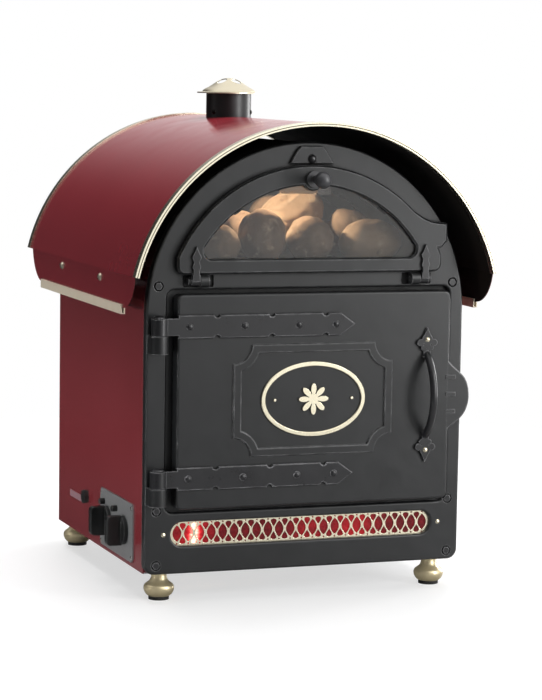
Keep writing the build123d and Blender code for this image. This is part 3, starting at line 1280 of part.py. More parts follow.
def display_potatoes():
    """A heap of baked potatoes, the front row first."""
    laid = []
    for x, y, radius, half, turn, tilt in POTATOES:
        laid.append((settled_axis(x, y, radius, half, turn, tilt, laid), radius))
    return Compound([potato(axis, radius) for axis, radius in laid])


# ---------------------------------------------------------------- fan, element and motor
def fan_baffle():
    """Sheet in front of the fan, with turned edges that reach the chamber's back."""
    x0, x1, z0, z1 = MOUTH_X[0] + 1.0, MOUTH_X[1] - 1.0, MOUTH_Z[0], MOUTH_Z[1]
    sheet = box(x0, x1, BAFFLE_Y, BAFFLE_Y + LINER, z0, z1)
    for a, b in ((z0, z0 + LINER), (z1 - LINER, z1)):
        sheet += box(x0, x1, BAFFLE_Y, OVEN_BACK, a, b)
    y0, y1 = BAFFLE_Y - OVER, BAFFLE_Y + LINER + OVER
    for ring in range(1, BAFFLE_RINGS + 1):
        radius, count = BAFFLE_RING_PITCH * ring, 6 * ring
        for i in range(count):
            angle = 2 * pi * i / count
            sheet -= rod_y(VENT_R, y0, y1, CENTRE_X + radius * cos(angle), CENTRE_Z + radius * sin(angle))
    half_w, half_h = BAFFLE_SLOT_HALF
    for side in (-1, 1):
        x = CENTRE_X + side * BAFFLE_SLOT_X
        for i in range(BAFFLE_SLOTS):
            z = CENTRE_Z + (i - (BAFFLE_SLOTS - 1) / 2) * BAFFLE_SLOT_PITCH
            sheet -= slab(rect(x - half_w, x + half_w, z - half_h, z + half_h, half_w - SEAT), y0, y1)
    return sheet


def fan_impeller():
    """Back plate, radial blades and the shaft that runs in the motor."""
    y1 = OVEN_BACK - FAN_BACK
    y0 = y1 - FAN_DEPTH
    wheel = rod_y(FAN_R, y1 - LINER, y1, CENTRE_X, CENTRE_Z)
    wheel += rod_y(SHAFT_R + FAN_HUB, y0, y1, CENTRE_X, CENTRE_Z)
    for i in range(FAN_BLADES):
        blade = box(FAN_R - FAN_BLADE_L, FAN_R - 1.0, y0, y1 - LINER / 2, -LINER / 2, LINER / 2)
        blade = Rot(0, 360.0 * i / FAN_BLADES, 0) * blade
        wheel += Pos(CENTRE_X, 0, CENTRE_Z) * blade
    return wheel + rod_y(SHAFT_R, y0, MOTOR_Y + SHAFT_IN, CENTRE_X, CENTRE_Z)


def fan_motor():
    body = rod_y(MOTOR_R, MOTOR_Y, MOTOR_Y + MOTOR_L, CENTRE_X, CENTRE_Z)
    body += rod_y(MOTOR_PLATE_R, MOTOR_Y, MOTOR_Y + MOTOR_PLATE_T, CENTRE_X, CENTRE_Z)
    reach = MOTOR_PLATE_R - MOTOR_POST_IN
    for i in range(MOTOR_POSTS):
        angle = 2 * pi * i / MOTOR_POSTS + pi / 2
        body += rod_y(MOTOR_POST_R, OVEN_BACK + LINER, MOTOR_Y + MOTOR_PLATE_T / 2,
                      CENTRE_X + reach * cos(angle), CENTRE_Z + reach * sin(angle))
    return body - rod_y(SHAFT_R + FIT, MOTOR_Y - OVER, MOTOR_Y + SHAFT_IN + SHAFT_ROOM, CENTRE_X, CENTRE_Z)


def ring_element():
    """Tubular heater round the fan, with two leads out through the chamber's back."""
    y = OVEN_BACK - ELEMENT_FRONT
    ring = Pos(CENTRE_X, y, CENTRE_Z) * Rot(90, 0, 0) * Torus(ELEMENT_R, ELEMENT_TUBE_R)
    for x in ELEMENT_LEAD_X:
        ring += rod_y(ELEMENT_TUBE_R, y, MOTOR_Y + MOTOR_PLATE_T, x, CENTRE_Z - ELEMENT_R)
    return ring


# ---------------------------------------------------------------- controls
def control_plate():
    plate = side_slab(rect(PANEL_Y[0], PANEL_Y[1], PANEL_Z[0], PANEL_Z[1], PANEL_CORNER), PANEL_X, SIDE_X)
    for y in CONTROL_Y:
        plate -= rod_x(SPINDLE_R + 2 * FIT, PANEL_X - OVER, SIDE_X + OVER, y, CONTROL_Z)
    for y in LAMP_Y:
        plate -= rod_x(LAMP_NECK_R + SEAT, PANEL_X - OVER, SIDE_X + OVER, y, LAMP_Z)
    for y, z in panel_screw_places():
        plate -= rod_x(SMALL_SCREW_R + SEAT, PANEL_X - OVER, SIDE_X + OVER, y, z)
    return plate


def panel_screw_places():
    return [(y, z) for y in (PANEL_Y[0] + PANEL_SCREW_IN, PANEL_Y[1] - PANEL_SCREW_IN)
            for z in (PANEL_Z[0] + PANEL_SCREW_IN, PANEL_Z[1] - PANEL_SCREW_IN)]


def control_screws():
    pieces = []
    for y, z in panel_screw_places():
        head = Rot(0, 0, -90) * dome_y(PANEL_HEAD_R, PANEL_HEAD_H, PANEL_X, 0, 0)
        pieces.append(Pos(0, y, z) * head + rod_x(SMALL_SCREW_R, PANEL_X - PANEL_HEAD_H / 3, SIDE_X, y, z))
    return Compound(pieces)


def switch(y, depth):
    """Body of a rotary control behind the plate, bored for the knob's spindle."""
    half = SWITCH_W / 2
    body = box(SIDE_X, SIDE_X + depth, y - half, y + half, CONTROL_Z - half, CONTROL_Z + half)
    body = chamfer(body.edges().filter_by(Axis.X), 3.0)
    for z in (CONTROL_Z - TAB_OUT, CONTROL_Z + TAB_OUT):
        body += box(SIDE_X + depth, SIDE_X + depth + 4.0, y - 3.0, y + 3.0, z - 0.5, z + 0.5)
    return body - rod_x(SPINDLE_R + FIT, SIDE_X - OVER, SIDE_X + SPINDLE_IN + 2.0, y, CONTROL_Z)


def control_knob(y):
    """A round skirt with an upright grip bar across it, and its spindle."""
    x1 = PANEL_X - KNOB_LIFT
    x0 = x1 - SKIRT_T
    knob = rod_x(SKIRT_R, x0, x1, y, CONTROL_Z)
    knob = fillet(knob.faces().sort_by(Axis.X)[0].edges(), 1.5)
    bar = box(x1 - GRIP_OUT, x0 + 1.0, y - GRIP_W / 2, y + GRIP_W / 2,
              CONTROL_Z - GRIP_L / 2, CONTROL_Z + GRIP_L / 2)
    bar = fillet(bar.edges().filter_by(Axis.Y).sort_by(Axis.X)[0:2], GRIP_ROUND)
    bar = fillet(bar.faces().sort_by(Axis.X)[0].edges(), 1.2)
    return knob + bar + rod_x(SPINDLE_R, x0, SIDE_X + SPINDLE_IN, y, CONTROL_Z)


def indicator_lamps():
    pieces = []
    for y in LAMP_Y:
        lamp = rod_x(LAMP_R, PANEL_X - LAMP_OUT, PANEL_X, y, LAMP_Z)
        lamp = chamfer(lamp.faces().sort_by(Axis.X)[0].edges(), 1.2)
        pieces.append(lamp + rod_x(LAMP_NECK_R, PANEL_X - OVER, SIDE_X + LAMP_IN, y, LAMP_Z))
    return Compound(pieces)


# ---------------------------------------------------------------- assembly
def build_nodes():
    add("base_tray", base_tray())
    add("front_plate", front_plate())
    add("body_shell", body_shell())
    add("rear_panel", rear_panel())
    add("rear_cover", rear_cover())
    add("cable_gland", cable_gland())
    add("label_plate", label_plate())
    add("reset_cap", reset_cap())
    for name, shape in zip(("foot_bulbs", "foot_pads", "foot_studs"), feet()):
        add(name, shape)
    add("roof_sheet", roof_sheet())
    add("roof_trim_front", arc_trim(ROOF_FRONT, 1))
    add("roof_trim_rear", arc_trim(ROOF_REAR, -1))
    add("roof_trim_sides", side_trims())
    add("roof_spacers", roof_spacers())
    add("roof_screws", roof_screws())
    add("chimney_tube", chimney_tube())
    add("chimney_cap", chimney_cap())
    add("plate_bolts", plate_bolts())
    add("window_catch", window_catch())
    add("hinge_pins", hinge_pins())
    add("ember_grille", ember_grille())
    add("grille_screws", grille_screws())
    add("ember_lens", ember_lens())
    add("lamp_bulbs", lamp_bulbs())
    add("lamp_holders", lamp_holders())
    add("oven_liner", oven_liner())
    add("insulation", insulation())
    add("shelf_runners", shelf_runners())
    add("wire_shelves", wire_shelves())
    add("display_liner", display_liner())
    add("display_tray", display_tray())
    add("display_potatoes", display_potatoes())
    add("fan_baffle", fan_baffle())
    add("fan_motor", fan_motor())
    add("ring_element", ring_element())
    add("control_plate", control_plate())
    add("control_screws", control_screws())
    add("timer", switch(CONTROL_Y[0], SWITCH_D))
    add("thermostat", switch(CONTROL_Y[1], SWITCH_D - 3.0))
    add("indicator_lamps", indicator_lamps())
    add("window_pivots", window_pivots())
    add("door_casting", door_casting())
    add("door_straps", door_straps())
    add("strap_rivets", strap_rivets())
    add("door_handle", door_handle())
    add("handle_screws", handle_screws())
    add("badge_ring", badge_ring())
    add("badge_ornament", badge_ornament())
    add("door_liner", door_liner())
    add("door_seal", door_seal())
    add("window_frame", window_frame())
    add("window_glass", window_glass())
    add("glass_clips", glass_clips())
    add("window_arms", Compound([window_arm(-1), window_arm(1)]))
    add("window_knob", window_knob())
    add("knob_front", control_knob(CONTROL_Y[0]))
    add("knob_rear", control_knob(CONTROL_Y[1]))
    add("fan_impeller", fan_impeller())


def main():
    build_nodes()
    os.makedirs("parts", exist_ok=True)
    for name, shape in NODES.items():
        solids = [Pos(0, -CENTRE_Y, 0) * solid for solid in shape.solids()]
        export_step(solids[0] if len(solids) == 1 else Compound(solids), f"parts/{name}.step")


main()
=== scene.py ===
"""Baked potato oven: finishes, fine pieces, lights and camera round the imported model."""
import math
import random

import bmesh
import bpy
from mathutils import Matrix, Vector, noise


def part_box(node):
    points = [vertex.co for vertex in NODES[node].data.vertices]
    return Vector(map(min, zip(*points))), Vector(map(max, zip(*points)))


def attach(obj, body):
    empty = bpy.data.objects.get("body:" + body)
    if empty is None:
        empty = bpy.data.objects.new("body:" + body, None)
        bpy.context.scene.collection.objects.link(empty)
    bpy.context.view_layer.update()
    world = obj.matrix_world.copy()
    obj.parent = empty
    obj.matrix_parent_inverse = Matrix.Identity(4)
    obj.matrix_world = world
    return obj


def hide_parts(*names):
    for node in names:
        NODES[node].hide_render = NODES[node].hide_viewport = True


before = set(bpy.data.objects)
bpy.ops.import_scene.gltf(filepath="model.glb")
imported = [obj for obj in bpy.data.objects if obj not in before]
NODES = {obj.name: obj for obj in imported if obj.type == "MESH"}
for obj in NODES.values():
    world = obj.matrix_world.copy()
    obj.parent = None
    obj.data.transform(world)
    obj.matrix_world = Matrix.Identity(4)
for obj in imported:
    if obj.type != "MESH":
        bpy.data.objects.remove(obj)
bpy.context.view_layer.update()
MM = 0.001

ROOF_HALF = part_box("roof_sheet")[1].x
ROOF_SWEEP = math.radians(76.5)     # from the top of the arch to its lower edge
ROOF_RADIUS = ROOF_HALF / math.sin(ROOF_SWEEP)
ROOF_CENTRE_Z = 0.3661
ROOF_SKIN = 0.6 * MM        # a face of the roof sheet that lies deeper than this is an inner one
CROWN_COVERED = (0.43, 0.47)    # heights between which the casing passes under the roof
CHIMNEY_FOOT = (0.50, 0.52)     # heights above the roof's edge screws and below the chimney's


# ---------------------------------------------------------------- finishes
NOISE_RANGE = (0.3, 0.7)        # where most of a noise's values lie


class Nodes:
    """Short calls for the nodes that a finish or the surroundings are built from."""

    def __init__(self, tree):
        self.tree = tree
        self.tree.nodes.clear()

    def node(self, kind, **settings):
        made = self.tree.nodes.new(kind)
        for name, value in settings.items():
            setattr(made, name, value)
        return made

    def link(self, source, target):
        self.tree.links.new(source, target)

    def feed(self, made, **inputs):
        """Sets or links a node's inputs by name, and gives back its first output."""
        for name, value in inputs.items():
            socket = made.inputs[int(name[1:])] if name[1:].isdigit() else made.inputs[name.replace("_", " ")]
            if isinstance(value, bpy.types.NodeSocket):
                self.link(value, socket)
            else:
                socket.default_value = value
        return made.outputs[0]

    def span(self, value, low, high, to_low=0.0, to_high=1.0, kind="LINEAR"):
        """Carries a value from one range to another, held at both ends."""
        made = self.node("ShaderNodeMapRange", interpolation_type=kind)
        return self.feed(made, Value=value, From_Min=low, From_Max=high, To_Min=to_low, To_Max=to_high)

    def calc(self, kind, a, b=0.0):
        return self.feed(self.node("ShaderNodeMath", operation=kind), _0=a, _1=b)

    def times(self, a, b):
        return self.calc("MULTIPLY", a, b)

    def blend(self, amount, a, b, kind="MIX"):
        made = self.node("ShaderNodeMix", data_type="RGBA", blend_type=kind)
        self.feed(made, _0=amount, _6=a, _7=b)
        return made.outputs[2]

    def dot(self, a, b):
        made = self.node("ShaderNodeVectorMath", operation="DOT_PRODUCT")
        self.feed(made, _0=a, _1=b)
        return made.outputs["Value"]


class Finish(Nodes):
    """A node material for one finish."""

    def __init__(self, name, **values):
        self.mat = bpy.data.materials.new(name)
        self.mat.use_nodes = True
        super().__init__(self.mat.node_tree)
        self.shader = self.node("ShaderNodeBsdfPrincipled")
        self.link(self.shader.outputs[0], self.node("ShaderNodeOutputMaterial").inputs[0])
        for socket, value in values.items():
            self.shader.inputs[socket.replace("_", " ")].default_value = value
        self.coords = self.node("ShaderNodeTexCoord").outputs["Object"]

    def stretched(self, x, y, z):
        """Coordinates that draw a pattern out along the axes with the smaller values."""
        return self.feed(self.node("ShaderNodeMapping"), Vector=self.coords, Scale=(x, y, z))

    def grain(self, scale, detail=3.0, rough=0.5, coords=None, warp=0.0):
        """Cloudy noise; a larger scale makes it finer."""
        made = self.node("ShaderNodeTexNoise")
        return self.feed(made, Vector=coords or self.coords, Scale=scale, Detail=detail, Roughness=rough,
                         Distortion=warp)

    def spread(self, noise_value, low=0.0, high=1.0):
        """A noise carried to two values."""
        return self.span(noise_value, *NOISE_RANGE, low, high)

    def patches(self, scale, detail=3.0, rough=0.5, low=0.0, high=1.0):
        """Soft patches between two values."""
        return self.spread(self.grain(scale, detail, rough), low, high)

    def cells(self, scale):
        """Distance from the nearest of many scattered points."""
        return self.feed(self.node("ShaderNodeTexVoronoi"), Vector=self.coords, Scale=scale)

    def axis(self, index):
        """The point's own X, Y or Z."""
        made = self.node("ShaderNodeSeparateXYZ")
        self.link(self.coords, made.inputs[0])
        return made.outputs[index]

    def from_roof_axis(self):
        """Distance from the line that the roof is bent round."""
        across = self.axis(0)
        up = self.calc("SUBTRACT", self.axis(2), ROOF_CENTRE_Z)
        return self.calc("SQRT", self.calc("ADD", self.times(across, across), self.times(up, up)))

    def relief(self, height, strength, depth, under=None):
        """Bump from a height, on top of another normal if there is one."""
        made = self.node("ShaderNodeBump")
        extra = {"Normal": under} if under else {}
        return self.feed(made, Height=height, Strength=strength, Distance=depth, **extra)

    def soft_edges(self, radius):
        """Normals that run round sharp edges."""
        return self.feed(self.node("ShaderNodeBevel", samples=4), Radius=radius)

    def edge_wear_and_highlight(self, radius):
        """1 along sharp edges, 0 on the flat."""
        flat = self.node("ShaderNodeNewGeometry").outputs["Normal"]
        return self.span(self.dot(self.soft_edges(radius), flat), 0.995, 0.93)

    def shade_in_hollows(self, reach):
        """1 where other faces stand close, 0 in the open: a mask for painting shade into hollows."""
        near = self.node("ShaderNodeAmbientOcclusion", samples=6)
        near.inputs["Distance"].default_value = reach
        return self.span(near.outputs["AO"], 0.35, 0.8, 1.0, 0.0)

    def end(self, **inputs):
        """Feeds the shader, and gives back the material."""
        self.feed(self.shader, **inputs)
        return self.mat


def rgb(r, g, b):
    return (r, g, b, 1.0)


def shade(colour, part):
    """A colour made darker or lighter."""
    return rgb(*[channel * part for channel in colour])


def cast_iron(name, deep, worn_and_lit, rough, grain_depth):
    """Satin black enamel over sand-cast iron."""
    f = Finish(name, Metallic=0.0, Specular_IOR_Level=0.5)
    broad = f.grain(14.0, 4.0, 0.6)
    fine = f.grain(420.0, 2.0, 0.6)
    colour = f.blend(f.spread(broad), rgb(*deep), shade(deep, 1.6))
    # pale edges: worn enamel and a painted highlight along the sharp edges
    edge = f.times(f.edge_wear_and_highlight(2.0 * MM), f.span(f.grain(60.0), 0.35, 0.65, 0.3, 1.0))
    colour = f.blend(edge, colour, rgb(*worn_and_lit))
    # painted shade: the colour goes near-black where other faces stand close, and the finish rougher there
    hollow_shade = f.shade_in_hollows(7 * MM)
    colour = f.blend(hollow_shade, colour, rgb(0.001, 0.001, 0.001))
    gloss = f.patches(45.0, 5.0, 0.65, low=rough - 0.05, high=rough + 0.07)
    gloss = f.calc("ADD", gloss, f.times(hollow_shade, 0.5))
    bumps = f.relief(fine, 0.4, grain_depth * MM, f.soft_edges(1.6 * MM))
    bumps = f.relief(f.grain(34.0, 3.0, 0.5), 0.3, 0.7 * MM, bumps)
    return f.end(Base_Color=colour, Roughness=gloss, Normal=bumps)


def gloss_enamel(name, deep, light, hidden):
    """Baked gloss enamel with a faint orange-peel surface, near-black and rough where it is hidden."""
    f = Finish(name, Metallic=0.0, Specular_IOR_Level=0.33)
    colour = f.blend(f.patches(5.0, 2.0), rgb(*deep), rgb(*light))
    specks = f.span(f.cells(900.0), 0.0, 0.12, 0.85, 1.0)
    colour = f.blend(1.0, colour, f.blend(specks, rgb(0.8, 0.8, 0.8), rgb(1, 1, 1)), "MULTIPLY")
    dark_where_covered = hidden(f)
    # the colour goes near-black and the finish rough on faces that the roof covers
    colour = f.blend(dark_where_covered, colour, rgb(0.006, 0.004, 0.003))
    gloss = f.patches(30.0, 3.0, low=0.14, high=0.22)
    gloss = f.calc("ADD", gloss, f.times(dark_where_covered, 0.75))
    peel = f.relief(f.grain(240.0, 1.0), 0.08, 0.08 * MM)
    waves = f.relief(f.grain(9.0, 1.0), 0.08, 0.8 * MM, peel)
    return f.end(Base_Color=colour, Roughness=gloss, Normal=waves)


def roof_inside(f):
    """1 on the roof sheet's inner face."""
    under_arch = f.calc("LESS_THAN", f.from_roof_axis(), ROOF_RADIUS - ROOF_SKIN)
    between_sides = f.calc("LESS_THAN", f.calc("ABSOLUTE", f.axis(0)), ROOF_HALF - ROOF_SKIN)
    return f.times(under_arch, between_sides)


def shell_under_roof(f):
    """1 on the casing's crown, which the roof covers."""
    return f.span(f.axis(2), *CROWN_COVERED)


TARNISH = (0.78, 0.72, 0.58)    # what old lacquer leaves of a brass's red, green and blue


def tarnished(f, colour, most):
    """Brass with browner clouds."""
    browner = rgb(*[channel * left for channel, left in zip(colour, TARNISH)])
    return f.blend(f.span(f.grain(38.0, 5.0, 0.7), 0.5, 0.78, 0.0, most), rgb(*colour), browner)


def edge_trim(name, colour, dark):
    """Rolled brass edging: a broad bright band, a thin groove painted dark as shade and a narrow inner line.
    """
    f = Finish(name, Metallic=1.0)
    out = f.calc("SUBTRACT", f.from_roof_axis(), ROOF_RADIUS)
    outer_side = f.span(out, -0.3 * MM, -0.6 * MM, kind="SMOOTHSTEP")
    inner_side = f.span(out, -1.7 * MM, -1.3 * MM, kind="SMOOTHSTEP")
    groove = f.times(outer_side, inner_side)
    # painted shade: the groove takes the dark colour
    base = f.blend(groove, tarnished(f, colour, 0.2), rgb(*dark))
    gloss = f.patches(700.0, 2.0, 0.6, low=0.22, high=0.32)
    return f.end(Base_Color=base, Roughness=gloss,
                 Normal=f.relief(groove, -0.7, 0.5 * MM, f.soft_edges(0.5 * MM)))


def roof_screw():
    """Domed brass screw heads along the roof, and black ones round the chimney's foot."""
    f = Finish("roof_screw", Metallic=1.0)
    base = f.blend(f.patches(300.0), rgb(0.86, 0.80, 0.64), rgb(0.74, 0.67, 0.50))
    base = f.blend(f.span(f.axis(2), *CHIMNEY_FOOT), base, rgb(0.015, 0.014, 0.013))
    return f.end(Base_Color=base, Roughness=f.patches(500.0, low=0.22, high=0.34),
                 Normal=f.soft_edges(0.4 * MM))


def satin_brass(name, colour, rough, metallic=1.0):
    """Pale lacquered brass with a fine grain and a trace of tarnish."""
    f = Finish(name, Metallic=metallic)
    fine = f.grain(900.0, 2.0, 0.6)
    gloss = f.spread(fine, rough - 0.04, rough + 0.06)
    return f.end(Base_Color=tarnished(f, colour, 0.22), Roughness=gloss,
                 Normal=f.relief(fine, 0.06, 0.02 * MM, f.soft_edges(0.5 * MM)))


def brushed_sheet(name, colour, rough, lines, metallic=1.0):
    """Brushed or rolled sheet metal."""
    f = Finish(name, Metallic=metallic)
    drawn = f.grain(700.0, 3.0, 0.6, f.stretched(*lines))
    base = f.blend(f.span(drawn, 0.25, 0.75), shade(colour, 0.82), rgb(*colour))
    gloss = f.patches(20.0, 4.0, low=rough - 0.06, high=rough + 0.08)
    return f.end(Base_Color=base, Roughness=gloss, Normal=f.relief(drawn, 0.12, 0.05 * MM))


def satin_black(name, colour, rough, depth):
    """Moulded black plastic or paint with a fine texture."""
    f = Finish(name, Specular_IOR_Level=0.5)
    base = f.blend(f.patches(120.0), rgb(*colour), shade(colour, 1.7))
    # painted highlight: sharp edges take a light grey
    base = f.blend(f.times(f.edge_wear_and_highlight(0.9 * MM), 0.6), base, rgb(0.16, 0.16, 0.16))
    gloss = f.patches(300.0, 2.0, low=rough - 0.01, high=rough + 0.02)
    texture = f.relief(f.grain(2200.0, 1.0), 0.05, depth * MM, f.soft_edges(0.6 * MM))
    return f.end(Base_Color=base, Roughness=gloss, Normal=texture)


def rubber():
    """Dusty black rubber."""
    f = Finish("rubber", Specular_IOR_Level=0.3)
    dust = f.span(f.grain(90.0, 5.0, 0.7), 0.45, 0.75)
    base = f.blend(dust, rgb(0.012, 0.012, 0.012), rgb(0.05, 0.048, 0.045))
    return f.end(Base_Color=base, Roughness=f.span(dust, 0.0, 1.0, 0.55, 0.85),
                 Normal=f.relief(f.grain(700.0), 0.4, 0.1 * MM))


def clear_glass():
    """The pane: a little smoke and greasy haze over plain glass."""
    f = Finish("clear_glass", Specular_IOR_Level=0.5, IOR=1.5, Transmission_Weight=1.0)
    haze = f.span(f.grain(22.0, 4.0, 0.6), 0.35, 0.75)
    base = f.blend(haze, rgb(0.90, 0.90, 0.89), rgb(0.80, 0.79, 0.77))
    return f.end(Base_Color=base, Roughness=f.span(haze, 0.0, 1.0, 0.0, 0.06))


EMBER_GLOW = (                  # middle along X, width, how bright
    (-150 * MM, 6 * MM, 1.0),
    (-152 * MM, 24 * MM, 0.16),
    (10 * MM, 22 * MM, 0.07),
    (75 * MM, 30 * MM, 0.10),
)
EMBER_STRENGTH = 2.6
EMBER_LEAST = 0.05


def ember_glass():
    """Red glass lit from behind, brightest round its lamp."""
    f = Finish("ember_glass", Specular_IOR_Level=0.2, Coat_Weight=0.08, Coat_Roughness=0.1)
    along = f.axis(0)
    glow = 0.0
    for middle, width, peak in EMBER_GLOW:
        away = f.calc("DIVIDE", f.calc("SUBTRACT", along, middle), width)
        fading = f.calc("EXPONENT", f.times(f.times(away, away), -1.0))
        glow = f.calc("ADD", glow, f.times(fading, peak))
    flicker = f.spread(f.grain(70.0, 4.0, 0.7, f.stretched(1.0, 1.0, 1.6)), 0.3, 1.3)
    glow = f.times(glow, flicker)
    base = f.blend(f.span(f.cells(150.0), 0.0, 0.6), rgb(0.19, 0.008, 0.012), rgb(0.08, 0.004, 0.007))
    hot = f.blend(f.span(glow, 0.25, 0.9), rgb(1.0, 0.02, 0.03), rgb(1.0, 0.62, 0.46))
    strength = f.calc("ADD", f.times(glow, EMBER_STRENGTH), EMBER_LEAST)
    return f.end(Base_Color=base, Roughness=f.span(f.cells(400.0), 0.0, 0.8, 0.15, 0.4), Emission_Color=hot,
                 Emission_Strength=strength, Normal=f.relief(f.cells(220.0), 0.5, 0.6 * MM))


EMBER_LAMP = 9.0
DISPLAY_LAMP = 0.12
BETWEEN_LAMPS = (0.2, 0.3)      # heights above one lamp and below the other


def lit_bulb():
    """Lamp glass: the ember lamp below and the dimmer display lamp above."""
    f = Finish("lit_bulb", Roughness=0.2)
    lamp = f.span(f.axis(2), *BETWEEN_LAMPS, EMBER_LAMP, DISPLAY_LAMP)
    glow = f.times(lamp, f.patches(40.0, 2.0, low=0.8, high=1.0))
    base = f.blend(f.patches(90.0), rgb(0.20, 0.13, 0.08), rgb(0.28, 0.19, 0.12))
    return f.end(Base_Color=base, Emission_Color=rgb(1.0, 0.62, 0.34), Emission_Strength=glow)


def woven(name, dark, light, scale):
    """Glass-fibre braid or mineral wool."""
    f = Finish(name, Specular_IOR_Level=0.2, Roughness=0.9, Sheen_Weight=0.3)
    weave = f.node("ShaderNodeTexWave", wave_type="BANDS", bands_direction="DIAGONAL")
    f.feed(weave, Vector=f.coords, Scale=scale, Distortion=3.0, Detail=2.0)
    lines = weave.outputs["Fac"]
    base = f.blend(lines, rgb(*dark), rgb(*light))
    return f.end(Base_Color=base, Normal=f.relief(lines, 0.6, 0.5 * MM))


def glazed_ceramic():
    """Dark brown glazed ceramic and the moulded control body."""
    f = Finish("glazed_ceramic", Specular_IOR_Level=0.5, Coat_Weight=0.5)
    base = f.blend(f.patches(70.0, 4.0), rgb(0.10, 0.075, 0.055), rgb(0.15, 0.115, 0.085))
    return f.end(Base_Color=base, Roughness=f.patches(200.0, low=0.2, high=0.4))


def potato_skin():
    """Baked skin: tan to brown, with dark eyes, pale rubbed spots and fine wrinkles."""
    f = Finish("potato_skin", Specular_IOR_Level=0.35)
    tone = f.node("ShaderNodeAttribute", attribute_name="tone").outputs["Fac"]
    broad = f.grain(16.0, 4.0, 0.6)
    base = f.blend(f.span(broad, 0.32, 0.68), rgb(0.070, 0.040, 0.023), rgb(0.165, 0.105, 0.065))
    base = f.blend(tone, base, rgb(0.36, 0.25, 0.155))
    eyes = f.span(f.cells(38.0), 0.05, 0.17, 1.0, 0.0)
    base = f.blend(f.times(eyes, 0.6), base, rgb(0.09, 0.045, 0.02))
    pale = f.span(f.grain(60.0, 5.0, 0.7), 0.56, 0.72)
    base = f.blend(f.times(pale, 0.4), base, rgb(0.76, 0.62, 0.42))
    freckles = f.span(f.cells(230.0), 0.10, 0.24, 1.0, 0.0)
    base = f.blend(f.times(freckles, 0.45), base, rgb(0.15, 0.08, 0.035))
    wrinkles = f.relief(f.grain(32.0, 4.0, 0.55, warp=1.5), 0.5, 2.5 * MM)
    return f.end(Base_Color=base, Roughness=f.spread(broad, 0.45, 0.7),
                 Normal=f.relief(eyes, -0.6, 2.0 * MM, wrinkles))


# the third colour is the edges': worn enamel and painted highlight
BLACK = cast_iron("black_casting", (0.0075, 0.008, 0.0085), (0.24, 0.24, 0.245), rough=0.34, grain_depth=0.10)
FORGED = cast_iron("forged_black", (0.008, 0.008, 0.009), (0.30, 0.30, 0.31), rough=0.30, grain_depth=0.08)
# the roof and the casing have the same enamel; their two reds differ only as painted light and shade
ENAMEL = gloss_enamel("burgundy_enamel", (0.150, 0.0195, 0.024), (0.162, 0.0225, 0.028), shell_under_roof)
ROOF_ENAMEL = gloss_enamel("burgundy_roof_enamel", (0.180, 0.0160, 0.0235), (0.195, 0.0185, 0.0265),
                           roof_inside)
CHIMNEY = satin_black("chimney_black", (0.0035, 0.0035, 0.004), rough=0.36, depth=0.004)
BRASS = satin_brass("pale_brass", (0.90, 0.83, 0.63), rough=0.24)
FOOT_BRASS = satin_brass("foot_brass", (0.76, 0.65, 0.41), rough=0.34, metallic=0.72)
CAP_BRASS = satin_brass("cap_brass", (0.76, 0.69, 0.53), rough=0.36)
# the last colour is the groove's painted shade
TRIM = edge_trim("trim_brass", (0.82, 0.76, 0.60), (0.06, 0.05, 0.03))
SIDE_TRIM = satin_brass("side_trim_brass", (0.76, 0.67, 0.53), rough=0.5, metallic=0.25)
SCREW = roof_screw()
ZINC = brushed_sheet("zinc_sheet", (0.55, 0.56, 0.57), rough=0.45, lines=(1.0, 1.0, 0.3))
STAINLESS = brushed_sheet("stainless_liner", (0.62, 0.61, 0.59), rough=0.30, lines=(0.08, 1.0, 1.0))
PANEL = brushed_sheet("control_steel", (0.23, 0.232, 0.235), rough=0.36, lines=(1.0, 0.04, 1.0),
                      metallic=0.35)
NICKEL = brushed_sheet("nickel_plate", (0.70, 0.69, 0.66), rough=0.24, lines=(1.0, 1.0, 1.0))
DARK_TUBE = brushed_sheet("dark_tube", (0.16, 0.15, 0.15), rough=0.5, lines=(1.0, 1.0, 1.0))
FOIL = brushed_sheet("label_foil", (0.34, 0.20, 0.225), rough=0.35, lines=(1.0, 0.2, 1.0), metallic=0.2)
KNOB = satin_black("knob_black", (0.006, 0.0065, 0.0065), rough=0.24, depth=0.004)
# the window knob is black like the others; its lighter base colour is a painted sheen
BALL_KNOB = satin_black("ball_knob_black", (0.045, 0.045, 0.048), rough=0.33, depth=0.004)
PAINT = satin_black("black_paint", (0.012, 0.012, 0.013), rough=0.45, depth=0.08)
RUBBER = rubber()
GLASS = clear_glass()
EMBER = ember_glass()
BULB = lit_bulb()
WOOL = woven("mineral_wool", (0.62, 0.55, 0.36), (0.80, 0.74, 0.56), scale=60.0)
BRAID = woven("glass_fibre_braid", (0.16, 0.155, 0.15), (0.42, 0.41, 0.39), scale=180.0)
CERAMIC = glazed_ceramic()
SKIN = potato_skin()

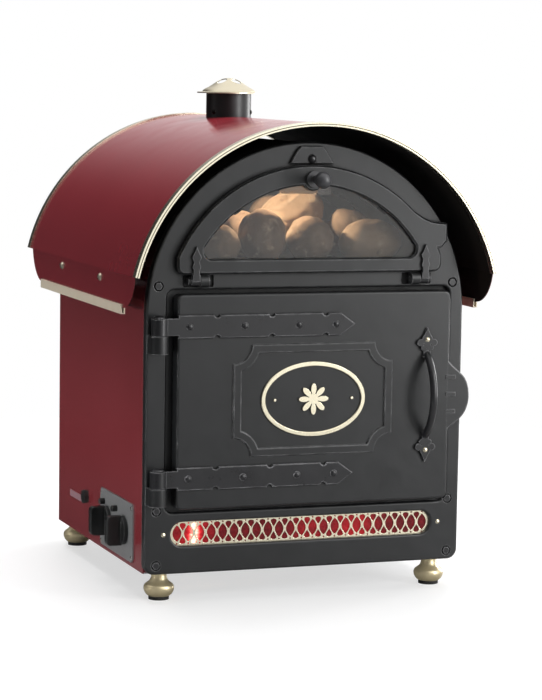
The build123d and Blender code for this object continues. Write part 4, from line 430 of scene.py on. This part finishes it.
NODE_FINISH = {
    BLACK: ("front_plate", "door_casting", "window_frame", "window_catch"),
    FORGED: ("door_straps", "strap_rivets", "door_handle", "hinge_pins", "window_arms", "window_pivots",
             "plate_bolts"),
    ENAMEL: ("body_shell",),
    ROOF_ENAMEL: ("roof_sheet",),
    CHIMNEY: ("chimney_tube",),
    BRASS: ("handle_screws", "badge_ring", "badge_ornament", "grille_screws"),
    FOOT_BRASS: ("foot_bulbs",),
    SCREW: ("roof_screws",),
    CAP_BRASS: ("chimney_cap",),
    TRIM: ("roof_trim_front", "roof_trim_rear"),
    SIDE_TRIM: ("roof_trim_sides",),
    ZINC: ("base_tray", "rear_panel", "foot_studs", "roof_spacers", "fan_motor", "glass_clips",
           "fan_impeller"),
    STAINLESS: ("oven_liner", "shelf_runners", "display_liner", "display_tray", "fan_baffle", "door_liner"),
    PANEL: ("control_plate",),
    NICKEL: ("control_screws", "wire_shelves"),
    DARK_TUBE: ("ring_element",),
    FOIL: ("label_plate",),
    BALL_KNOB: ("window_knob",),
    KNOB: ("knob_front", "knob_rear", "indicator_lamps", "timer", "reset_cap", "cable_gland"),
    PAINT: ("rear_cover",),
    RUBBER: ("foot_pads",),
    GLASS: ("window_glass",),
    EMBER: ("ember_lens",),
    BULB: ("lamp_bulbs",),
    WOOL: ("insulation",),
    BRAID: ("door_seal",),
    CERAMIC: ("lamp_holders", "thermostat"),
}
for finish, node_names in NODE_FINISH.items():
    for node_name in node_names:
        slots = NODES[node_name].data.materials
        slots.clear()
        slots.append(finish)


# ---------------------------------------------------------------- pieces made here
ALMOST_TOUCHING = 0.001 * MM


def shown(name, mesh, body, material_slot, *stands_for):
    """A finished piece: on a body, in place of CAD nodes; the material_slot argument is not used."""
    obj = bpy.data.objects.new(name, mesh)
    bpy.context.scene.collection.objects.link(obj)
    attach(obj, body)
    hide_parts(*stands_for)


def loose_parts(node):
    """The corners of each loose part of a CAD node."""
    bm = bmesh.new()
    bm.from_mesh(NODES[node].data)
    bmesh.ops.remove_doubles(bm, verts=bm.verts, dist=ALMOST_TOUCHING)
    parts, seen = [], set()
    for start in bm.verts:
        if start in seen:
            continue
        seen.add(start)
        part, queue = [], [start]
        while queue:
            corner = queue.pop()
            part.append(corner.co.copy())
            for edge in corner.link_edges:
                other = edge.other_vert(corner)
                if other not in seen:
                    seen.add(other)
                    queue.append(other)
        parts.append(part)
    bm.free()
    return parts


POTATO_SEED = 11
POTATO_TONE = (0.35, 0.10, 0.25, 0.85, 0.05, 0.10, 0.30, 0.40, 0.95, 0.45)     # how pale each one is
NEAR_PANE = (0, 1, 2, 3, 8)     # potatoes seen close up, with a finer skin
FINE, COARSE = 5, 4             # how often a ball's faces are split
EYES_EACH = 6
EYE_DEPTH = 1.7 * MM
EYE_WIDTH = 0.16                # on a ball of radius 1
BROAD_LUMP = (0.10, 1.2)        # height as a share of the radius, and how many to the radius
SMALL_LUMP = (0.045, 3.1)
PLAIN, FULLEST = 0.965, 1.003   # the radius without lumps and the largest, as shares of the bar's
BLUNT = 0.5                     # how much fuller than a ball's the ends are


def potato_point(n, middle, along, reach, radius, shift, eyes):
    """A point of a tuber's skin: n is its direction on a ball."""
    endward = n.dot(along)
    lumps = sum(height * noise.noise(n * often + shift) for height, often in (BROAD_LUMP, SMALL_LUMP))
    swell = min(FULLEST, PLAIN + lumps)
    dent = sum(math.exp(-((n - eye).length / EYE_WIDTH) ** 2) for eye in eyes)
    slide = (reach - radius) * endward * (1 + BLUNT - BLUNT * endward * endward)
    return middle + along * slide + n * (radius * swell - EYE_DEPTH * dent)


def baked_potatoes():
    """Lumpy tubers with dented eyes, each inside its plain round bar."""
    bm = bmesh.new()
    tone = bm.verts.layers.float.new("tone")
    chance = random.Random(POTATO_SEED)
    for index, corners in enumerate(loose_parts("display_potatoes")):
        low = Vector([min(c[i] for c in corners) for i in range(3)])
        high = Vector([max(c[i] for c in corners) for i in range(3)])
        middle = (low + high) / 2
        tip = max(corners, key=lambda c: (c - middle).length)
        reach = (tip - middle).length
        along = (tip - middle) / reach
        radius = max(((c - middle) - along * (c - middle).dot(along)).length for c in corners)
        shift = Vector([chance.uniform(-20, 20) for _ in range(3)])
        eyes = [Vector([chance.gauss(0, 1) for _ in range(3)]).normalized() for _ in range(EYES_EACH)]
        splits = FINE if index in NEAR_PANE else COARSE
        ball = bmesh.ops.create_icosphere(bm, subdivisions=splits, radius=1.0)
        for corner in ball["verts"]:
            corner.co = potato_point(corner.co.normalized(), middle, along, reach, radius, shift, eyes)
            corner[tone] = POTATO_TONE[index]
    for face in bm.faces:
        face.smooth = True
    mesh = bpy.data.meshes.new("baked_potatoes")
    bm.to_mesh(mesh)
    bm.free()
    mesh.materials.append(SKIN)
    shown("baked_potatoes", mesh, "casing", "potato_skin", "display_potatoes")


class Shape(Nodes):
    """A Geometry Nodes tree with named sizes."""

    def __init__(self, name, **sizes):
        tree = bpy.data.node_groups.new(name, "GeometryNodeTree")
        super().__init__(tree)
        tree.interface.new_socket("Geometry", in_out="OUTPUT", socket_type="NodeSocketGeometry")
        self.values = {}
        for label, value in sizes.items():
            kind = "NodeSocketInt" if isinstance(value, int) else "NodeSocketFloat"
            socket = tree.interface.new_socket(label, in_out="INPUT", socket_type=kind)
            self.values[socket.identifier] = value
        self.size = self.node("NodeGroupInput").outputs
        self.out = self.node("NodeGroupOutput")

    def make(self, kind, settings=None, **inputs):
        return self.feed(self.node(kind, **(settings or {})), **inputs)

    def vector(self, x=0.0, y=0.0, z=0.0):
        return self.make("ShaderNodeCombineXYZ", X=x, Y=y, Z=z)

    def join(self, *parts):
        """All the parts as one."""
        made = self.node("GeometryNodeJoinGeometry")
        for part in reversed(parts):
            self.link(part, made.inputs[0])
        return made.outputs[0]

    def row(self, shape, count, start, step):
        """Copies of a shape along X."""
        points = self.make("GeometryNodeMeshLine", Count=count, Start_Location=start, Offset=step)
        copies = self.make("GeometryNodeInstanceOnPoints", Points=points, Instance=shape)
        return self.make("GeometryNodeRealizeInstances", Geometry=copies)

    def grown(self, name, solid, material):
        """The tree's result as a plain mesh."""
        whole = self.make("GeometryNodeRealizeInstances", Geometry=solid)
        self.link(self.make("GeometryNodeSetMaterial", Geometry=whole, Material=material), self.out.inputs[0])
        holder = bpy.data.objects.new(name, bpy.data.meshes.new(name))
        bpy.context.scene.collection.objects.link(holder)
        modifier = holder.modifiers.new(name, "NODES")
        modifier.node_group = self.tree
        for identifier, value in self.values.items():
            modifier[identifier] = value
        mesh = bpy.data.meshes.new_from_object(holder.evaluated_get(bpy.context.evaluated_depsgraph_get()))
        bpy.data.objects.remove(holder)
        mesh.name = name
        return mesh


EYE_POINTS, FAN_POINTS, DOT_POINTS = 28, 24, 10


def pierced_grille():
    """The ember slot's brass plate: crossing ribs round upright eyes, with fans and dots along both edges."""
    low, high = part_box("ember_grille")
    # an eye's and a fan's width and height are measured from its middle
    g = Shape("pierced_grille", Width=high.x - low.x, Height=high.z - low.z, Corner=4.0 * MM,
              Thickness=high.y - low.y, Pitch=15.65 * MM, Eyes=23, EyeWidth=6.0 * MM, EyeHeight=11.0 * MM,
              FanWidth=6.1 * MM, FanHeight=5.3 * MM, FanOut=8.4 * MM, DotRadius=1.15 * MM, DotOut=13.4 * MM)
    size = g.size

    def bent(curve, across, up):
        """A ring with each point moved."""
        return g.make("GeometryNodeSetPosition", Geometry=curve, Position=g.vector(across, up))

    def ring(points, radius=1.0):
        circle = "GeometryNodeCurvePrimitiveCircle"
        return g.make(circle, {"mode": "RADIUS"}, Resolution=points, Radius=radius)

    place = g.node("ShaderNodeSeparateXYZ")
    g.link(g.make("GeometryNodeInputPosition"), place.inputs[0])
    x, y = place.outputs[0], place.outputs[1]
    pointed = g.times(x, g.calc("ABSOLUTE", x))
    eye = bent(ring(EYE_POINTS), g.times(pointed, size["EyeWidth"]), g.times(y, size["EyeHeight"]))
    open_up = g.calc("POWER", g.times(g.calc("ADD", y, 1.0), 0.5), 0.85)
    fan_across = g.times(g.times(x, open_up), size["FanWidth"])
    fan_up = g.times(y, size["FanHeight"])
    fan = bent(ring(FAN_POINTS), fan_across, fan_up)
    fan_under = bent(ring(FAN_POINTS), fan_across, g.times(fan_up, -1.0))
    dot = ring(DOT_POINTS, size["DotRadius"])

    step = g.vector(size["Pitch"])
    fans = g.calc("SUBTRACT", size["Eyes"], 1.0)
    first = g.times(g.times(fans, -0.5), size["Pitch"])
    between = g.calc("ADD", first, g.times(size["Pitch"], 0.5))
    fan_down = g.times(size["FanOut"], -1.0)
    dot_down = g.times(size["DotOut"], -1.0)
    rim = g.make("GeometryNodeCurvePrimitiveQuadrilateral", Width=size["Width"], Height=size["Height"])
    rim = g.make("GeometryNodeFilletCurve", {"mode": "POLY"}, Curve=rim, Count=5, Radius=size["Corner"])
    outline = g.join(rim, g.row(eye, size["Eyes"], g.vector(first), step),
                     g.row(fan, fans, g.vector(between, size["FanOut"]), step),
                     g.row(fan_under, fans, g.vector(between, fan_down), step),
                     g.row(dot, size["Eyes"], g.vector(first, size["DotOut"]), step),
                     g.row(dot, size["Eyes"], g.vector(first, dot_down), step))
    sheet = g.make("GeometryNodeFillCurve", {"mode": "TRIANGLES"}, Curve=outline)
    front = g.make("GeometryNodeExtrudeMesh", Mesh=sheet, Offset=g.vector(z=1.0),
                   Offset_Scale=size["Thickness"], Individual=False)
    back = g.make("GeometryNodeFlipFaces", Mesh=sheet)
    solid = g.make("GeometryNodeMergeByDistance", Geometry=g.join(front, back), Distance=ALMOST_TOUCHING)
    solid = g.make("GeometryNodeTransform", Geometry=solid, Rotation=(math.pi / 2, 0.0, 0.0),
                   Translation=((low.x + high.x) / 2, high.y, (low.z + high.z) / 2))
    mesh = g.grown("pierced_grille", solid, BRASS)
    shown("pierced_grille", mesh, "casing", "pale_brass", "ember_grille")


baked_potatoes()
pierced_grille()


# ---------------------------------------------------------------- floor, light and camera
WORLD_FILL = 0.17               # what lights the object from all round
WORLD_GLOSS = 1.15              # what shines sees this
DARK_CARDS = (                  # direction, the cosines between which it darkens, the level left
    ((-0.552, 0.834, 0.0), 0.50, 0.90, 0.035),
    ((-0.750, -0.660, 0.0), 0.45, 0.80, 0.12),
)
FLOOR_RADIUS = 1.5
FLOOR_CORNERS = 96
FLOOR_FADE = (0.70, 1.25)       # distances between which the floor passes into white
FLOOR_LIFT = 0.60               # the floor's own light near the object
FLOOR_CARD = (0.16, 0.40)       # distances to the rear left between which it darkens for what shines
FLOOR_CARD_DARK = 0.96


def studio_floor():
    """A pale floor that passes into the white surroundings."""
    mesh = bpy.data.meshes.new("studio_floor")
    turns = [math.tau * step / FLOOR_CORNERS for step in range(FLOOR_CORNERS)]
    rim = [(FLOOR_RADIUS * math.cos(turn), FLOOR_RADIUS * math.sin(turn), 0) for turn in turns]
    mesh.from_pydata(rim, [], [tuple(range(FLOOR_CORNERS))])
    f = Finish("studio_floor", Roughness=0.6, Specular_IOR_Level=0.3)
    base = f.blend(f.patches(2.0), rgb(0.37, 0.37, 0.38), rgb(0.39, 0.39, 0.39))
    base = f.blend(f.patches(700.0), base, rgb(0.38, 0.38, 0.38))
    edge = f.span(f.calc("SQRT", f.dot(f.coords, f.coords)), *FLOOR_FADE, kind="SMOOTHSTEP")
    rays = f.node("ShaderNodeLightPath").outputs
    seen = f.times(rays["Is Camera Ray"], f.span(edge, 0.0, 1.0, FLOOR_LIFT, 1.0))
    base = f.blend(edge, base, rgb(0, 0, 0))
    rear_left = f.dot(f.coords, DARK_CARDS[0][0])
    card = f.span(rear_left, *FLOOR_CARD, 0.0, FLOOR_CARD_DARK, "SMOOTHSTEP")
    base = f.blend(f.times(rays["Is Glossy Ray"], card), base, rgb(0, 0, 0))
    mesh.materials.append(f.end(Base_Color=base, Emission_Color=rgb(1, 1, 1), Emission_Strength=seen))
    obj = bpy.data.objects.new("studio_floor", mesh)
    bpy.context.scene.collection.objects.link(obj)


def studio_world():
    """White behind the object, soft fill on it, and dark cards at the left for what shines."""
    world = bpy.data.worlds.new("studio")
    world.use_nodes = True
    w = Nodes(world.node_tree)
    rays = w.node("ShaderNodeLightPath").outputs
    way = w.node("ShaderNodeTexCoord").outputs["Generated"]
    gloss = WORLD_GLOSS
    for card, begins, ends, left in DARK_CARDS:
        gloss = w.times(gloss, w.span(w.dot(way, card), begins, ends, 1.0, left, "SMOOTHSTEP"))
    extra = w.times(rays["Is Glossy Ray"], w.calc("SUBTRACT", gloss, WORLD_FILL))
    level = w.calc("ADD", WORLD_FILL, extra)
    straight = w.calc("LESS_THAN", rays["Diffuse Depth"], 0.5)
    seen = w.calc("MAXIMUM", rays["Is Camera Ray"], w.times(rays["Is Transmission Ray"], straight))
    level = w.calc("ADD", w.times(level, w.calc("SUBTRACT", 1.0, seen)), seen)
    back = w.node("ShaderNodeBackground")
    w.feed(back, Color=rgb(1, 1, 1), Strength=level)
    w.link(back.outputs[0], w.node("ShaderNodeOutputWorld").inputs[0])
    bpy.context.scene.world = world


def area_light(name, place, aim, size, power, spread=180.0, mirrored=True):
    """A white rectangle of light; mirrored says whether it shows in what shines."""
    data = bpy.data.lights.new(name, "AREA")
    data.spread = math.radians(spread)
    data.shape = "RECTANGLE"
    data.size, data.size_y = size
    data.energy = power
    obj = bpy.data.objects.new(name, data)
    obj.location = place
    obj.rotation_euler = (Vector(aim) - Vector(place)).to_track_quat("-Z", "Y").to_euler()
    obj.visible_transmission = False
    obj.visible_glossy = mirrored
    bpy.context.scene.collection.objects.link(obj)


def point_light(name, place, power, colour, radius):
    """A small lamp that lights but isn't seen."""
    data = bpy.data.lights.new(name, "POINT")
    data.energy = power
    data.color = colour
    data.shadow_soft_size = radius
    obj = bpy.data.objects.new(name, data)
    obj.location = place
    obj.visible_camera = obj.visible_transmission = obj.visible_glossy = False
    bpy.context.scene.collection.objects.link(obj)


GLASS_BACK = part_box("window_glass")[1].y
studio_floor()
studio_world()
area_light("soft_top", place=(0.10, 0.30, 2.1), aim=(0, 0, 0.4), size=(1.7, 1.8), power=70, mirrored=False)
area_light("soft_right", place=(1.30, -1.65, 0.80), aim=(0, 0, 0.38), size=(0.40, 1.4), power=24)
area_light("rim_right", place=(2.3, 0.80, 0.75), aim=(0, 0, 0.36), size=(0.5, 1.5), power=30)
area_light("low_left", place=(-1.6, -0.45, 0.14), aim=(-0.24, 0.0, 0.18), size=(0.9, 0.25), power=1.1,
           spread=28.0, mirrored=False)
area_light("soft_front", place=(0.5, -2.7, 1.7), aim=(0, 0, 0.4), size=(1.2, 1.2), power=6)
point_light("display_glow", place=(-34 * MM, GLASS_BACK + 80 * MM, 534 * MM), power=1.7,
            colour=(1.0, 0.86, 0.70), radius=4 * MM)

CAMERA_AZ, CAMERA_EL, CAMERA_ROLL = (math.radians(angle) for angle in (-20.404, 6.767, 0.952))
CAMERA_AIM = Vector((-0.0268, -0.2181, 0.2997))
CAMERA_FAR = 3.3014             # from the aim, in metres
CAMERA_FOCAL_PX = 2536.7        # focal length in the image's own pixels
CAMERA_REACH = 100.0            # nothing beyond this shows
CAMERA_SENSOR = 36.0            # the side that the image's height fills, in millimetres
IMAGE_W, IMAGE_H = 542, 700
IMAGE_MIDDLE = (288.0, 369.4)   # the pixel that the lens looks straight at


def studio_camera():
    """A long lens at the front left, looking slightly down."""
    back = Vector((math.sin(CAMERA_AZ) * math.cos(CAMERA_EL), -math.cos(CAMERA_AZ) * math.cos(CAMERA_EL),
                   math.sin(CAMERA_EL)))
    across = Vector((math.cos(CAMERA_AZ), math.sin(CAMERA_AZ), 0))
    up = back.cross(across)
    level, tilt = math.cos(CAMERA_ROLL), math.sin(CAMERA_ROLL)
    turn = Matrix((across * level + up * tilt, up * level - across * tilt, back)).transposed()
    data = bpy.data.cameras.new("camera")
    data.sensor_width = CAMERA_SENSOR
    data.lens = CAMERA_SENSOR * CAMERA_FOCAL_PX / IMAGE_H
    data.shift_x = (IMAGE_W / 2 - IMAGE_MIDDLE[0]) / IMAGE_H
    data.shift_y = (IMAGE_MIDDLE[1] - IMAGE_H / 2) / IMAGE_H
    data.clip_end = CAMERA_REACH
    obj = bpy.data.objects.new("camera", data)
    obj.matrix_world = Matrix.Translation(CAMERA_AIM + back * CAMERA_FAR) @ turn.to_4x4()
    bpy.context.scene.collection.objects.link(obj)
    bpy.context.scene.camera = obj


studio_camera()
bpy.context.scene.view_settings.view_transform = "Standard"
